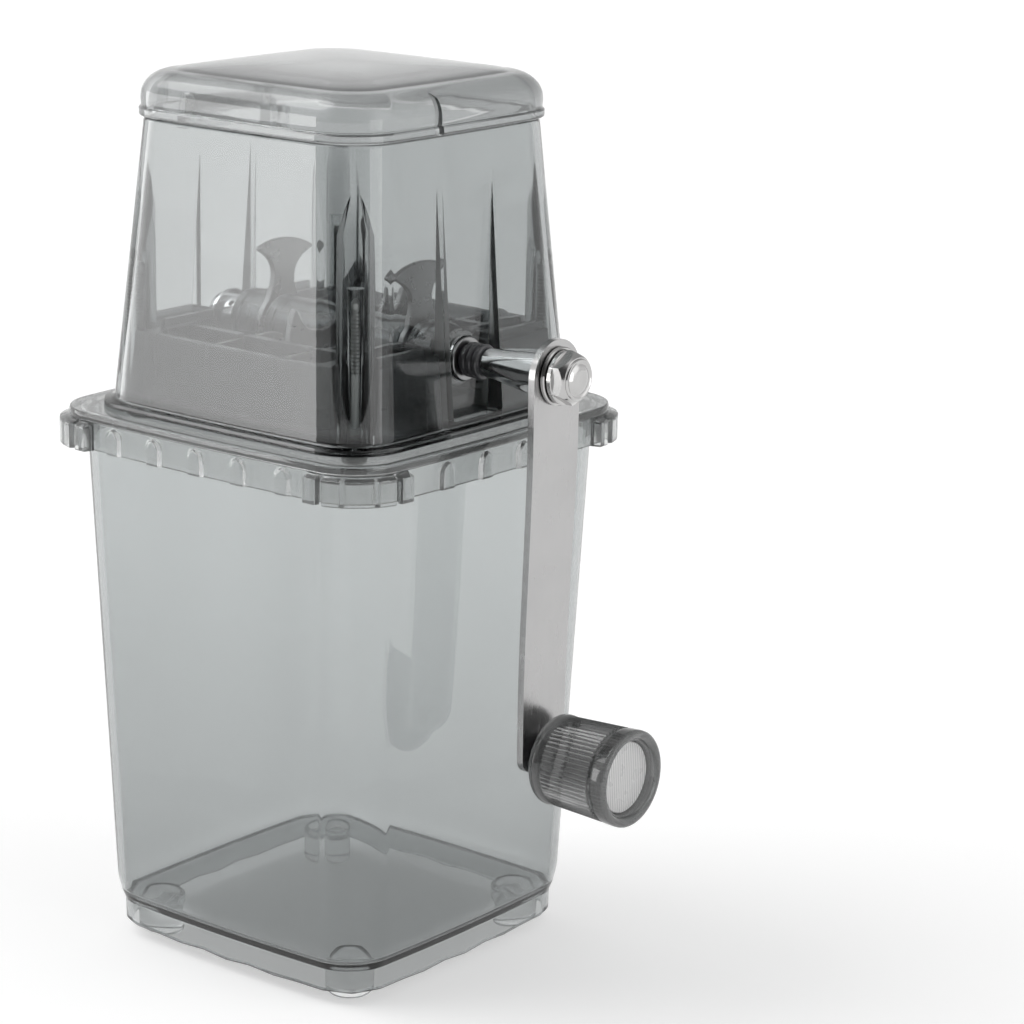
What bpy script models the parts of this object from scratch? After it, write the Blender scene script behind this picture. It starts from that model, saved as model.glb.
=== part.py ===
"""Hand-crank ice crusher: smoke-clear container, collar, tapered hopper with a hinged lid,
a steel-bladed rotor on a through shaft, and a flat crank arm with a ribbed knob.

The shaft runs along X, the crank is on +X, the lid hinge is on -X, +Z is up, the feet rest on z = 0.
All the driving sizes below are in millimetres; everything is scaled to metres when meshes are made.
"""

import math

import bmesh
import bpy
from mathutils import Matrix, Vector

for old in list(bpy.data.objects):
    bpy.data.objects.remove(old, do_unlink=True)

MM = 0.001
GAP = 0.3  # space left between touching pieces
BODY_AXIS_X = -22.0  # the upright axis of the body, so that the whole object is centred with its crank

# ---- body outline -------------------------------------------------------------------------------
CORNER_STEPS = 6  # facets in each rounded corner
SIDE_STEPS = 4  # facets along each slightly bowed side
WALL = 2.2

SKIRT_Z, FLOOR_UNDER_Z, FLOOR_TOP_Z = 3.2, 10.2, 12.0
TUB_RIM_Z = 152.6
TUB_HALF_LOW, TUB_HALF_HIGH = 50.2, 55.5
TUB_BOW_LOW, TUB_BOW_HIGH = 1.6, 2.0
TUB_R = 13.0
FOOT_R, FOOT_H, FOOT_AT = 6.6, 9.6, 35.5

COLLAR_LOW_Z, COLLAR_PLATE_Z, COLLAR_TOP_Z = 145.2, 153.0, 155.4
COLLAR_HALF, COLLAR_R, COLLAR_BOW = 58.6, 14.5, 2.0
COLLAR_WALL = 2.0
CORNER_BLOCK, RIB_OUT = 3.1, 1.3  # how far corner blocks and side ribs stand proud
RIBS_Y, RIBS_X, RIB_HALF = (0.0, 15.5, 31.0), (8.0, 24.0), 3.2  # rib places on the Y sides and the X sides
BLOCK_FROM = 39.5  # where a corner block starts, from the middle of its side
COLLAR_HOLE_HALF = 44.0

HOP_LOW_Z, HOP_FLANGE_Z, HOP_TOP_Z = 155.7, 157.6, 235.3
HOP_HALF_LOW, HOP_HALF_HIGH = 49.4, 43.2
HOP_FLANGE_HALF = 51.8
HOP_R, HOP_BOW = 14.0, 1.0
POST_AT, POST_R, POST_BORE_R = 39.0, 5.6, 2.3
POST_SHOULDER_Z, POST_TIP_Z, POST_BORE_TOP_Z, SCREW_TOP_Z = 211.0, 224.7, 198.5, 195.5
PAD_X, PAD_HALF_Y, PAD_LOW_Z, PAD_TIP_Z = 44.2, 10.4, 159.0, 222.5  # bearing recess in the end walls
PAD_SIDE = 1.0  # the recess's side walls are thinner than its back

# ---- grinding insert ----------------------------------------------------------------------------
INS_LOW_Z, INS_TOP_Z = 155.7, 177.5
INS_HALF_LOW, INS_HALF_HIGH = 46.5, 44.8
TROUGH_R, TROUGH_HALF_X = 27.0, 31.0
POCKET_Y0, POCKET_Y1 = 29.5, 42.2
BOX_X0, BOX_X1, BOX_Y0, BOX_Y1, BOX_TOP_Z = 32.4, 42.6, 13.4, 36.0, 179.5
BOX_WALL, BOX_FLOOR_Z, BOX_FLOOR_T = 1.6, 166.0, 2.5

# ---- shaft and rotor ----------------------------------------------------------------------------
AXIS_Z = 174.5
SHAFT_R, STUD_R, BORE_GAP = 3.9, 2.9, 0.3
SHAFT_IDLE_X, SHAFT_STEP_X, STUD_END_X = -46.6, 39.6, 81.6
BUSH_R, BUSH_FLANGE_R = 6.0, 7.6
RING_R, RING_END_X = 4.8, 52.2
BLADE_X = (-22.2, 2.7, 27.7)
BLADE_TURN = (4.0, 90.0, -3.0)  # degrees from upright
BLADE_T, BLADE_R, BLADE_HUB_R, BLADE_TIP = 2.0, 24.5, 9.3, 10.8
DRUM_R = 8.8
FIXED_X, FIXED_T = (-9.8, 15.2), 1.5
FIXED_Y0, FIXED_Y1, FIXED_Z0, FIXED_Z1 = 11.0, 41.6, 168.6, 176.6

# ---- crank and knob -----------------------------------------------------------------------------
ARM_X0, ARM_T, ARM_LEAN = 73.8, 2.0, 2.0
CRANK_LEN = 106.0
ARM_HALF_TOP, ARM_HALF_LOW = 9.8, 9.0
ARM_END = 4.8  # how far the arm's flattened end reaches below the knob's pin
KNOB_Z = AXIS_Z - CRANK_LEN
NUT_AF, NUT_X0, NUT_X1 = 12.8, 77.6, 83.4
NUT_FLANGE_R, NUT_FLANGE_T = 7.3, 1.5
KNOB_X0, KNOB_X1 = 77.6, 104.2
KNOB_R_BACK, KNOB_R_FRONT = 12.2, 13.4
KNOB_RIBS = 32

# ---- lid ----------------------------------------------------------------------------------------
LID_LOW_Z, LID_BAND_Z, LID_TOP_Z = 235.9, 238.2, 250.0
LID_BAND_HALF, LID_HALF, PANEL_HALF = 44.3, 43.8, 35.8
LID_R, PANEL_R = 14.0, 10.0
LID_SHELL = 2.0
SLIT_Y, SLIT_TOP_Z, SLIT_W_LOW, SLIT_W_TOP = -11.0, 245.6, 2.2, 1.0
HINGE_X, HINGE_Z, HINGE_R, PIN_R = -43.0, 237.0, 2.4, 1.2
BARREL_HALF_Y, LUG_Y0, LUG_Y1 = 13.6, 14.0, 17.2


def material(name, colour, rough, metal, clear=0.0):
    made = bpy.data.materials.new(name)
    made.use_nodes = True
    shader = made.node_tree.nodes["Principled BSDF"]
    shader.inputs["Base Color"].default_value = (*colour, 1.0)
    shader.inputs["Roughness"].default_value = rough
    shader.inputs["Metallic"].default_value = metal
    shader.inputs["Transmission Weight"].default_value = clear
    made.diffuse_color = (*colour, 1.0)
    return made


CLEAR = material("smoke_clear", (0.62, 0.65, 0.66), 0.05, 0.0, 0.9)
CLEAR_DARK = material("smoke_dark", (0.33, 0.35, 0.37), 0.08, 0.0, 0.7)
NYLON = material("nylon_dark", (0.09, 0.09, 0.10), 0.35, 0.0)
CHROME = material("chrome_plate", (0.80, 0.80, 0.81), 0.10, 1.0)
STEEL = material("blade_steel", (0.62, 0.62, 0.63), 0.28, 1.0)
RUBBER = material("foot_rubber", (0.18, 0.18, 0.19), 0.60, 0.0)


def from_bmesh(bm, name, mat, cutter=False):
    bmesh.ops.recalc_face_normals(bm, faces=bm.faces)
    mesh = bpy.data.meshes.new(name)
    bm.to_mesh(mesh)
    bm.free()
    if mat is not None:
        mesh.materials.append(mat)
    made = bpy.data.objects.new(name, mesh)
    made.location = (BODY_AXIS_X * MM, 0.0, 0.0)
    bpy.context.scene.collection.objects.link(made)
    if cutter:
        made.hide_render = True
        made.display_type = "WIRE"
    return made


def smooth(obj, angle=35.0):
    for face in obj.data.polygons:
        face.use_smooth = True
    obj.data.set_sharp_from_angle(angle=math.radians(angle))
    return obj


def outline(half, radius, bow):
    """A square of half width `half` at mid-side, with rounded corners and sides that bow out by `bow`."""
    edge = half - bow
    centre = edge - radius
    arc = []
    for quarter in range(4):
        turn = math.radians(90 * quarter)
        for step in range(CORNER_STEPS + 1):
            a = math.radians(-90 + 90 * step / CORNER_STEPS)
            x, y = centre + radius * math.cos(a), -centre + radius * math.sin(a)
            arc.append((x * math.cos(turn) - y * math.sin(turn), x * math.sin(turn) + y * math.cos(turn)))
    points = []
    for i, here in enumerate(arc):
        points.append(here)
        if i % (CORNER_STEPS + 1) == CORNER_STEPS:
            after = arc[(i + 1) % len(arc)]
            for step in range(1, SIDE_STEPS):
                t = step / SIDE_STEPS
                points.append((here[0] + (after[0] - here[0]) * t, here[1] + (after[1] - here[1]) * t))
    bowed = []
    for x, y in points:
        if abs(x) > abs(y):
            x += math.copysign(bow * (1 - min(1, abs(y) / edge) ** 2), x)
        else:
            y += math.copysign(bow * (1 - min(1, abs(x) / edge) ** 2), y)
        bowed.append((x, y))
    return bowed


def loft(rings, closed=False):
    """Skin a run of rings, each (outline, z). Ends are capped unless the run closes on itself."""
    bm = bmesh.new()
    made = [[bm.verts.new((x * MM, y * MM, z * MM)) for x, y in ring] for ring, z in rings]
    pairs = list(zip(made, made[1:])) + ([(made[-1], made[0])] if closed else [])
    for low, high in pairs:
        for i in range(len(low)):
            j = (i + 1) % len(low)
            bm.faces.new((low[i], low[j], high[j], high[i]))
    if not closed:
        bm.faces.new(made[0])
        bm.faces.new(made[-1])
    return bm


def revolve(profile, steps, x_axis_z, turn=0.0, closed=True):
    """Spin (x, radius) pairs about the line along X at height x_axis_z. Radius 0 makes a pole."""
    bm = bmesh.new()
    rings = []
    for x, radius in profile:
        if radius == 0:
            rings.append([bm.verts.new((x * MM, 0, x_axis_z * MM))])
            continue
        ring = []
        for k in range(steps):
            a = 2 * math.pi * k / steps + turn
            ring.append(
                bm.verts.new((x * MM, radius * math.cos(a) * MM, (x_axis_z + radius * math.sin(a)) * MM))
            )
        rings.append(ring)
    pairs = list(zip(rings, rings[1:])) + ([(rings[-1], rings[0])] if closed else [])
    for one, two in pairs:
        for k in range(steps):
            n = (k + 1) % steps
            if len(one) == 1:
                bm.faces.new((one[0], two[k], two[n]))
            elif len(two) == 1:
                bm.faces.new((one[k], one[n], two[0]))
            else:
                bm.faces.new((one[k], one[n], two[n], two[k]))
    return bm


def plate(points, x0, x1):
    """Extrude a (y, z) outline from x0 to x1."""
    bm = bmesh.new()
    back = [bm.verts.new((x0 * MM, y * MM, z * MM)) for y, z in points]
    front = [bm.verts.new((x1 * MM, y * MM, z * MM)) for y, z in points]
    bm.faces.new(back)
    bm.faces.new(front)
    for i in range(len(points)):
        j = (i + 1) % len(points)
        bm.faces.new((back[i], back[j], front[j], front[i]))
    return bm


def box(x0, x1, y0, y1, z0, z1):
    bm = bmesh.new()
    bmesh.ops.create_cube(bm, size=1.0)
    size = Vector((x1 - x0, y1 - y0, z1 - z0)) * MM
    mid = Vector((x0 + x1, y0 + y1, z0 + z1)) * (MM / 2)
    bmesh.ops.transform(bm, matrix=Matrix.Translation(mid) @ Matrix.Diagonal((*size, 1)), verts=bm.verts)
    return bm


def pole(x, y, z0, z1, r0, r1=None, steps=16, turn=0.0):
    """An upright cylinder or cone."""
    bm = bmesh.new()
    ends = []
    for z, r in ((z0, r0), (z1, r0 if r1 is None else r1)):
        ends.append(
            [
                bm.verts.new(
                    (
                        (x + r * math.cos(2 * math.pi * k / steps + turn)) * MM,
                        (y + r * math.sin(2 * math.pi * k / steps + turn)) * MM,
                        z * MM,
                    )
                )
                for k in range(steps)
            ]
        )
    for k in range(steps):
        n = (k + 1) % steps
        bm.faces.new((ends[0][k], ends[0][n], ends[1][n], ends[1][k]))
    bm.faces.new(ends[0])
    bm.faces.new(ends[1])
    return bm


def bar_y(x, z, y0, y1, r, steps=16, bore=None):
    """A cylinder along Y."""
    bm = revolve([(y0, r), (y1, r)] if bore is None else [(y0, bore), (y0, r), (y1, r), (y1, bore)],
                 steps, 0.0, closed=bore is not None)
    if bore is None:
        for end in (y0, y1):
            bm.faces.new([v for v in bm.verts if abs(v.co.x - end * MM) < 1e-7])
    bmesh.ops.transform(bm, verts=bm.verts, matrix=Matrix.Translation((x * MM, 0, z * MM))
                        @ Matrix.Rotation(math.pi / 2, 4, "Z"))
    return bm


def apply(obj, cutter, how):
    mod = obj.modifiers.new(how.title(), "BOOLEAN")
    mod.operation = how
    mod.solver = "EXACT"
    mod.object = cutter
    return obj


def cut(obj, bm):
    return apply(obj, from_bmesh(bm, obj.name + "_cut", None, cutter=True), "DIFFERENCE")


def add(obj, bm):
    return apply(obj, from_bmesh(bm, obj.name + "_add", None, cutter=True), "UNION")


CORNERS = (("front_left", -1, -1), ("front_right", 1, -1), ("back_right", 1, 1), ("back_left", -1, 1))


# ---- container ----------------------------------------------------------------------------------
def tub_half(z):
    return TUB_HALF_LOW + (TUB_HALF_HIGH - TUB_HALF_LOW) * (z - 17) / (TUB_RIM_Z - 17)


def build_container():
    def ring(half, radius, z, bow):
        return outline(half, radius, bow), z

    outer = [
        ring(48.4, 11.8, SKIRT_Z, TUB_BOW_LOW),
        ring(48.9, 12.0, FLOOR_UNDER_Z + 1, TUB_BOW_LOW),
        ring(49.7, 12.5, FLOOR_UNDER_Z + 3.2, TUB_BOW_LOW),
        ring(TUB_HALF_LOW, TUB_R, 17, TUB_BOW_LOW),
        ring(tub_half(80), TUB_R, 80, (TUB_BOW_LOW + TUB_BOW_HIGH) / 2),
        ring(TUB_HALF_HIGH, TUB_R, TUB_RIM_Z, TUB_BOW_HIGH),
    ]
    inner = [
        ring(TUB_HALF_HIGH - WALL, TUB_R - WALL, TUB_RIM_Z, TUB_BOW_HIGH),
        ring(tub_half(80) - WALL, TUB_R - WALL, 80, (TUB_BOW_LOW + TUB_BOW_HIGH) / 2),
        ring(TUB_HALF_LOW - WALL, TUB_R - WALL, 17, TUB_BOW_LOW),
        ring(46.6, 9.6, FLOOR_TOP_Z, TUB_BOW_LOW),
    ]
    under = [
        ring(46.3, 9.6, FLOOR_UNDER_Z, TUB_BOW_LOW),
        ring(46.1, 9.6, SKIRT_Z, TUB_BOW_LOW),
    ]
    # floor underside -> skirt inside -> outside -> rim -> inside -> floor top
    tub = from_bmesh(loft(under + outer + inner), "ice_container", CLEAR)
    for _, sx, sy in CORNERS:
        cut(tub, pole(sx * FOOT_AT, sy * FOOT_AT, 5.0, FLOOR_UNDER_Z + 0.9, FOOT_R - 1.0, steps=20))
    return smooth(tub, 30)


def build_feet():
    for name, sx, sy in CORNERS:
        foot = pole(sx * FOOT_AT, sy * FOOT_AT, 0.0, 1.0, FOOT_R - 0.8, FOOT_R, steps=20)
        rim = pole(sx * FOOT_AT, sy * FOOT_AT, 0.8, FOOT_H, FOOT_R, steps=20)
        stem = pole(sx * FOOT_AT, sy * FOOT_AT, FOOT_H - 1, FLOOR_UNDER_Z + 0.6, FOOT_R - 1.0 - GAP, steps=20)
        obj = from_bmesh(foot, "foot_" + name, RUBBER)
        add(obj, rim)
        add(obj, stem)
        smooth(obj)


# ---- collar -------------------------------------------------------------------------------------
def half_side(rib_at, proud_corner, proud_rib):
    """(along, out) points of half a collar side, from its middle to where the corner's arc starts."""
    edge = COLLAR_HALF - COLLAR_BOW
    steps = [] if rib_at[0] == 0 else [(0.0, 0.0)]
    for at in rib_at:
        if at > 0:
            steps += [(at - RIB_HALF, 0.0), (at - RIB_HALF, proud_rib)]
        else:
            steps.append((0.0, proud_rib))
        steps += [(at + RIB_HALF, proud_rib), (at + RIB_HALF, 0.0)]
    steps += [(BLOCK_FROM, 0.0), (BLOCK_FROM, proud_corner)]
    return [(s, edge + COLLAR_BOW * (1 - (s / edge) ** 2) + out) for s, out in steps]


def collar_outline(proud_corner, proud_rib):
    """The collar's plan with corner blocks and with ribs along the sides."""
    edge = COLLAR_HALF - COLLAR_BOW
    centre = edge - COLLAR_R
    swell = COLLAR_BOW * (1 - (centre / edge) ** 2)
    points = []
    for quarter in range(4):
        turn = math.radians(90 * quarter)
        first, second = (RIBS_Y, RIBS_X) if quarter % 2 == 0 else (RIBS_X, RIBS_Y)
        # half a side up to the corner, the corner's arc, then half of the next side back to its middle
        run = [(x, -y) for x, y in half_side(first, proud_corner, proud_rib)]
        for step in range(CORNER_STEPS + 1):
            a = math.radians(-90 + 90 * step / CORNER_STEPS)
            radius = COLLAR_R + proud_corner
            x, y = centre + radius * math.cos(a), -centre + radius * math.sin(a)
            if step == 0:
                y -= swell
            if step == CORNER_STEPS:
                x += swell
            run.append((x, y))
        run += [(y, -x) for x, y in reversed(half_side(second, proud_corner, proud_rib))]
        for x, y in run[:-1]:
            points.append((x * math.cos(turn) - y * math.sin(turn), x * math.sin(turn) + y * math.cos(turn)))
    return points


def build_collar():
    low = collar_outline(CORNER_BLOCK, RIB_OUT)
    mid = collar_outline(CORNER_BLOCK - 0.5, RIB_OUT - 0.5)
    body = from_bmesh(
        loft([(low, COLLAR_LOW_Z), (low, COLLAR_PLATE_Z - 0.8), (mid, COLLAR_PLATE_Z)]), "collar_frame", CLEAR
    )
    top = COLLAR_HALF + 0.3
    add(body, loft([
        (outline(top, COLLAR_R, COLLAR_BOW), COLLAR_PLATE_Z - 1.0),
        (outline(top, COLLAR_R, COLLAR_BOW), COLLAR_TOP_Z - 0.7),
        (outline(top - 0.7, COLLAR_R, COLLAR_BOW), COLLAR_TOP_Z),
    ]))
    inside = COLLAR_HALF - COLLAR_WALL
    cut(body, loft([
        (outline(inside, COLLAR_R - COLLAR_WALL + 0.6, COLLAR_BOW), COLLAR_LOW_Z - 1),
        (outline(inside, COLLAR_R - COLLAR_WALL + 0.6, COLLAR_BOW), COLLAR_PLATE_Z),
    ]))
    cut(body, loft([
        (outline(COLLAR_HOLE_HALF, 12.0, HOP_BOW), COLLAR_PLATE_Z - 1),
        (outline(COLLAR_HOLE_HALF, 12.0, HOP_BOW), COLLAR_TOP_Z + 1),
    ]))
    for _, sx, sy in CORNERS:
        cut(body, pole(sx * POST_AT, sy * POST_AT, COLLAR_PLATE_Z - 1, COLLAR_TOP_Z + 1, 2.2, steps=16))
    return smooth(body, 30)


# ---- hopper -------------------------------------------------------------------------------------
def hop_half(z):
    return HOP_HALF_LOW + (HOP_HALF_HIGH - HOP_HALF_LOW) * (z - HOP_FLANGE_Z) / (HOP_TOP_Z - HOP_FLANGE_Z)


def build_hopper():
    def ring(half, z, radius=HOP_R):
        return outline(half, radius, HOP_BOW), z

    shell = from_bmesh(
        loft([
            ring(HOP_FLANGE_HALF, HOP_LOW_Z, HOP_R + 1), ring(HOP_FLANGE_HALF, HOP_FLANGE_Z - 0.4, HOP_R + 1),
            ring(HOP_FLANGE_HALF - 0.4, HOP_FLANGE_Z, HOP_R + 1),
            ring(HOP_HALF_LOW, HOP_FLANGE_Z + 0.01), ring(HOP_HALF_HIGH, HOP_TOP_Z),
        ]),
        "hopper_shell", CLEAR,
    )
    hollow = from_bmesh(
        loft([ring(hop_half(HOP_LOW_Z - 1) - WALL, HOP_LOW_Z - 1, HOP_R - WALL),
              ring(hop_half(HOP_TOP_Z + 1) - WALL, HOP_TOP_Z + 1, HOP_R - WALL)]),
        "hopper_hollow", None, cutter=True,
    )
    for _, sx, sy in CORNERS:
        cut(hollow, pole(sx * POST_AT, sy * POST_AT, HOP_LOW_Z - 2, POST_SHOULDER_Z, POST_R))
        cut(hollow, pole(sx * POST_AT, sy * POST_AT, POST_SHOULDER_Z - 0.5, POST_TIP_Z, POST_R, 1.2))
    reach = PAD_X - WALL
    for side in (-1, 1):
        x0, x1 = sorted((side * reach, side * (reach + 12)))
        cut(hollow, box(x0, x1, -PAD_HALF_Y - PAD_SIDE, PAD_HALF_Y + PAD_SIDE, PAD_LOW_Z - WALL, PAD_TIP_Z + 12))
    # pocket wall behind the lid hinge
    cut(hollow, box(-60, -37.6, -21.2, 21.2, 229.8, 240))
    apply(shell, hollow, "DIFFERENCE")
    for side in (-1, 1):
        x0, x1 = sorted((side * PAD_X, side * 60))
        cut(shell, box(x0, x1, -PAD_HALF_Y, PAD_HALF_Y, PAD_LOW_Z, PAD_TIP_Z + 14))
        a, b = sorted((side * 38, side * 50))
        cut(shell, revolve([(a, 0), (a, BUSH_R + GAP), (b, BUSH_R + GAP), (b, 0)], 24, AXIS_Z, closed=False))
    for _, sx, sy in CORNERS:
        cut(shell, pole(sx * POST_AT, sy * POST_AT, HOP_LOW_Z - 1, POST_BORE_TOP_Z, POST_BORE_R, steps=12))
    cut(shell, box(-60, -39.4, -19.2, 19.2, 231.6, 240))
    for sy in (-1, 1):
        y0, y1 = sorted((sy * LUG_Y0, sy * LUG_Y1))
        add(shell, box(HINGE_X - 0.2, -39.0, y0, y1, 231.0, HINGE_Z + 0.4))
        add(shell, bar_y(HINGE_X, HINGE_Z, y0, y1, HINGE_R))
    cut(shell, bar_y(HINGE_X, HINGE_Z, -LUG_Y1 - 1, LUG_Y1 + 1, PIN_R + GAP, 12))
    return smooth(shell, 30)


# ---- grinding insert with fixed blades ----------------------------------------------------------
def build_insert():
    body = from_bmesh(
        loft([(outline(INS_HALF_LOW, 11.0, HOP_BOW), INS_LOW_Z), (outline(INS_HALF_HIGH, 11.0, HOP_BOW), INS_TOP_Z)]),
        "grinding_insert", CLEAR_DARK,
    )
    for sx in (-1, 1):
        for sy in (-1, 1):
            x0, x1 = sorted((sx * BOX_X0, sx * BOX_X1))
            y0, y1 = sorted((sy * BOX_Y0, sy * BOX_Y1))
            add(body, box(x0, x1, y0, y1, INS_TOP_Z - 4, BOX_TOP_Z))
    cut(body, revolve([(-TROUGH_HALF_X, 0), (-TROUGH_HALF_X, TROUGH_R), (TROUGH_HALF_X, TROUGH_R),
                       (TROUGH_HALF_X, 0)], 36, AXIS_Z, turn=math.radians(5), closed=False))
    for sx in (-1, 1):
        for sy in (-1, 1):
            x0, x1 = sorted((sx * (BOX_X0 + BOX_WALL), sx * (BOX_X1 - BOX_WALL)))
            y0, y1 = sorted((sy * (BOX_Y0 + BOX_WALL), sy * (BOX_Y1 - BOX_WALL)))
            cut(body, box(x0, x1, y0, y1, BOX_FLOOR_Z, BOX_TOP_Z + 1))
            cut(body, box(x0, x1, y0, y1, INS_LOW_Z - 1, BOX_FLOOR_Z - BOX_FLOOR_T))
    for sy in (-1, 1):
        y0, y1 = sorted((sy * POCKET_Y0, sy * POCKET_Y1))
        cut(body, box(-BOX_X0 + 3, BOX_X0 - 3, y0, y1, 165.0, INS_TOP_Z + 1))
    for side in (-1, 1):
        reach = PAD_X - WALL - GAP - 0.1
        x0, x1 = sorted((side * reach, side * 60))
        cut(body, box(x0, x1, -PAD_HALF_Y - WALL - GAP, PAD_HALF_Y + WALL + GAP, INS_LOW_Z - 1, 190))
        x0, x1 = sorted((side * (TROUGH_HALF_X - 2), side * 55))
        cut(body, box(x0, x1, -DRUM_R - 1.7, DRUM_R + 1.7, AXIS_Z - DRUM_R - 1.7, 191))
    for _, sx, sy in CORNERS:
        cut(body, pole(sx * POST_AT, sy * POST_AT, INS_LOW_Z - 1, 190, POST_R + GAP + 0.1))
    for x in FIXED_X:
        slot = FIXED_T / 2 + GAP
        cut(body, box(x - slot, x + slot, -FIXED_Y1 - GAP, FIXED_Y1 + GAP, FIXED_Z0 - GAP, INS_TOP_Z + 1))
    return smooth(body, 30)


def build_fixed_blades():
    number = 0
    for x in FIXED_X:
        for sy in (-1, 1):
            number += 1
            tooth = [
                (FIXED_Y0, FIXED_Z0 + 3.2), (FIXED_Y0 + 3.0, FIXED_Z0 + 1.0), (FIXED_Y0 + 9.0, FIXED_Z0),
                (FIXED_Y1, FIXED_Z0), (FIXED_Y1, FIXED_Z1), (FIXED_Y0 + 8.0, FIXED_Z1),
                (FIXED_Y0 + 2.5, FIXED_Z1 - 1.4),
            ]
            points = [(sy * y, z) for y, z in tooth]
            from_bmesh(plate(points, x - FIXED_T / 2, x + FIXED_T / 2), f"fixed_blade_{number}", STEEL)


def build_screws():
    for name, sx, sy in CORNERS:
        bm = pole(sx * POST_AT, sy * POST_AT, 149.9, 152.6, 3.4, steps=16)
        obj = from_bmesh(bm, "post_screw_" + name, CHROME)
        add(obj, pole(sx * POST_AT, sy * POST_AT, 152.0, SCREW_TOP_Z, 1.8, steps=16))
        cut(obj, pole(sx * POST_AT, sy * POST_AT, 149.0, 151.2, 1.5, steps=6))
        smooth(obj)


# ---- rotor --------------------------------------------------------------------------------------
def blade_outline():
    """Double-ended axe shape in its own (across, up) axes: flared heads on narrow necks round a hub."""
    head = math.asin(BLADE_TIP / BLADE_R)
    top = [(BLADE_R * math.sin(head * k / 5), BLADE_R * math.cos(head * k / 5)) for k in range(-5, 6)]
    tip_y = BLADE_R * math.cos(head)
    side = [(8.4, tip_y - 1.0), (6.2, tip_y - 2.7), (4.7, tip_y - 5.4), (4.1, 14.0), (4.3, 11.4)]
    hub = [(BLADE_HUB_R * math.cos(math.radians(a)), BLADE_HUB_R * math.sin(math.radians(a)))
           for a in (58, 40, 20, 0, -20, -40, -58)]
    right = side + hub + [(x, -y) for x, y in reversed(side)]
    bottom = [(x, -y) for x, y in reversed(top)]
    left = [(-x, -y) for x, y in right]
    return top + right + bottom + left


def build_rotor():
    shaft = revolve(
        [(SHAFT_IDLE_X, 0), (SHAFT_IDLE_X, SHAFT_R - 0.6), (SHAFT_IDLE_X + 0.6, SHAFT_R), (-46.0 + 0.2, SHAFT_R),
         (-45.8, SHAFT_R - 0.9), (-44.7, SHAFT_R - 0.9), (-44.7, SHAFT_R), (SHAFT_STEP_X, SHAFT_R),
         (SHAFT_STEP_X, STUD_R), (STUD_END_X - 0.5, STUD_R), (STUD_END_X, STUD_R - 0.5), (STUD_END_X, 0)],
        24, AXIS_Z, closed=False)
    smooth(from_bmesh(shaft, "drive_shaft", STEEL))

    clip = revolve([(-45.6, SHAFT_R - 0.5), (-45.6, 6.0), (-44.9, 6.0), (-44.9, SHAFT_R - 0.5)], 24, AXIS_Z)
    clip_obj = from_bmesh(clip, "retaining_clip", STEEL)
    cut(clip_obj, box(-50, -40, -1.6, 1.6, AXIS_Z - 10, AXIS_Z))
    smooth(clip_obj)

    bore = SHAFT_R + BORE_GAP
    for n, (x, turn) in enumerate(zip(BLADE_X, BLADE_TURN), 1):
        a = math.radians(turn)
        points = [(u * math.cos(a) + v * math.sin(a), AXIS_Z - u * math.sin(a) + v * math.cos(a))
                  for u, v in blade_outline()]
        blade = from_bmesh(plate(points, x - BLADE_T / 2, x + BLADE_T / 2), f"rotor_blade_{n}", STEEL)
        cut(blade, revolve([(x - 3, 0), (x - 3, bore), (x + 3, bore), (x + 3, 0)], 24, AXIS_Z, closed=False))
        smooth(blade, 25)

    ends = [-33.6]
    for x in BLADE_X:
        ends += [x - BLADE_T / 2 - GAP, x + BLADE_T / 2 + GAP]
    ends.append(37.4)
    for n in range(4):
        x0, x1 = ends[2 * n], ends[2 * n + 1]
        drum = revolve([(x0, bore), (x0, DRUM_R - 0.5), (x0 + 0.5, DRUM_R), (x1 - 0.5, DRUM_R),
                        (x1, DRUM_R - 0.5), (x1, bore)], 28, AXIS_Z)
        smooth(from_bmesh(drum, f"drum_spacer_{n + 1}", NYLON))

    idle = revolve([(-44.4, bore), (-44.4, BUSH_R), (-41.7, BUSH_R), (-41.7, BUSH_FLANGE_R), (-40.4, BUSH_FLANGE_R),
                    (-40.4, BUSH_R), (-34.4, BUSH_R - 0.2), (-34.0, BUSH_R - 0.6), (-34.0, bore)], 28, AXIS_Z)
    smooth(from_bmesh(idle, "idle_bush", CHROME))
    stud_bore = STUD_R + BORE_GAP
    drive = revolve([(40.0, stud_bore), (40.0, BUSH_FLANGE_R), (41.7, BUSH_FLANGE_R), (41.7, BUSH_R), (45.2, BUSH_R),
                     (45.2, RING_R), (45.6, RING_R - 0.5), (RING_END_X - 1.8, RING_R - 0.5),
                     (RING_END_X - 1.4, RING_R), (RING_END_X, RING_R), (RING_END_X, stud_bore)], 28, AXIS_Z)
    smooth(from_bmesh(drive, "drive_bush", NYLON))


# ---- crank --------------------------------------------------------------------------------------
def arm_x(z):
    """The arm is dished toward the body between its two flat ends."""
    high, low = AXIS_Z - 14, KNOB_Z + 14
    t = min(1.0, max(0.0, (high - z) / (high - low)))
    return ARM_X0 - ARM_LEAN * t


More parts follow.
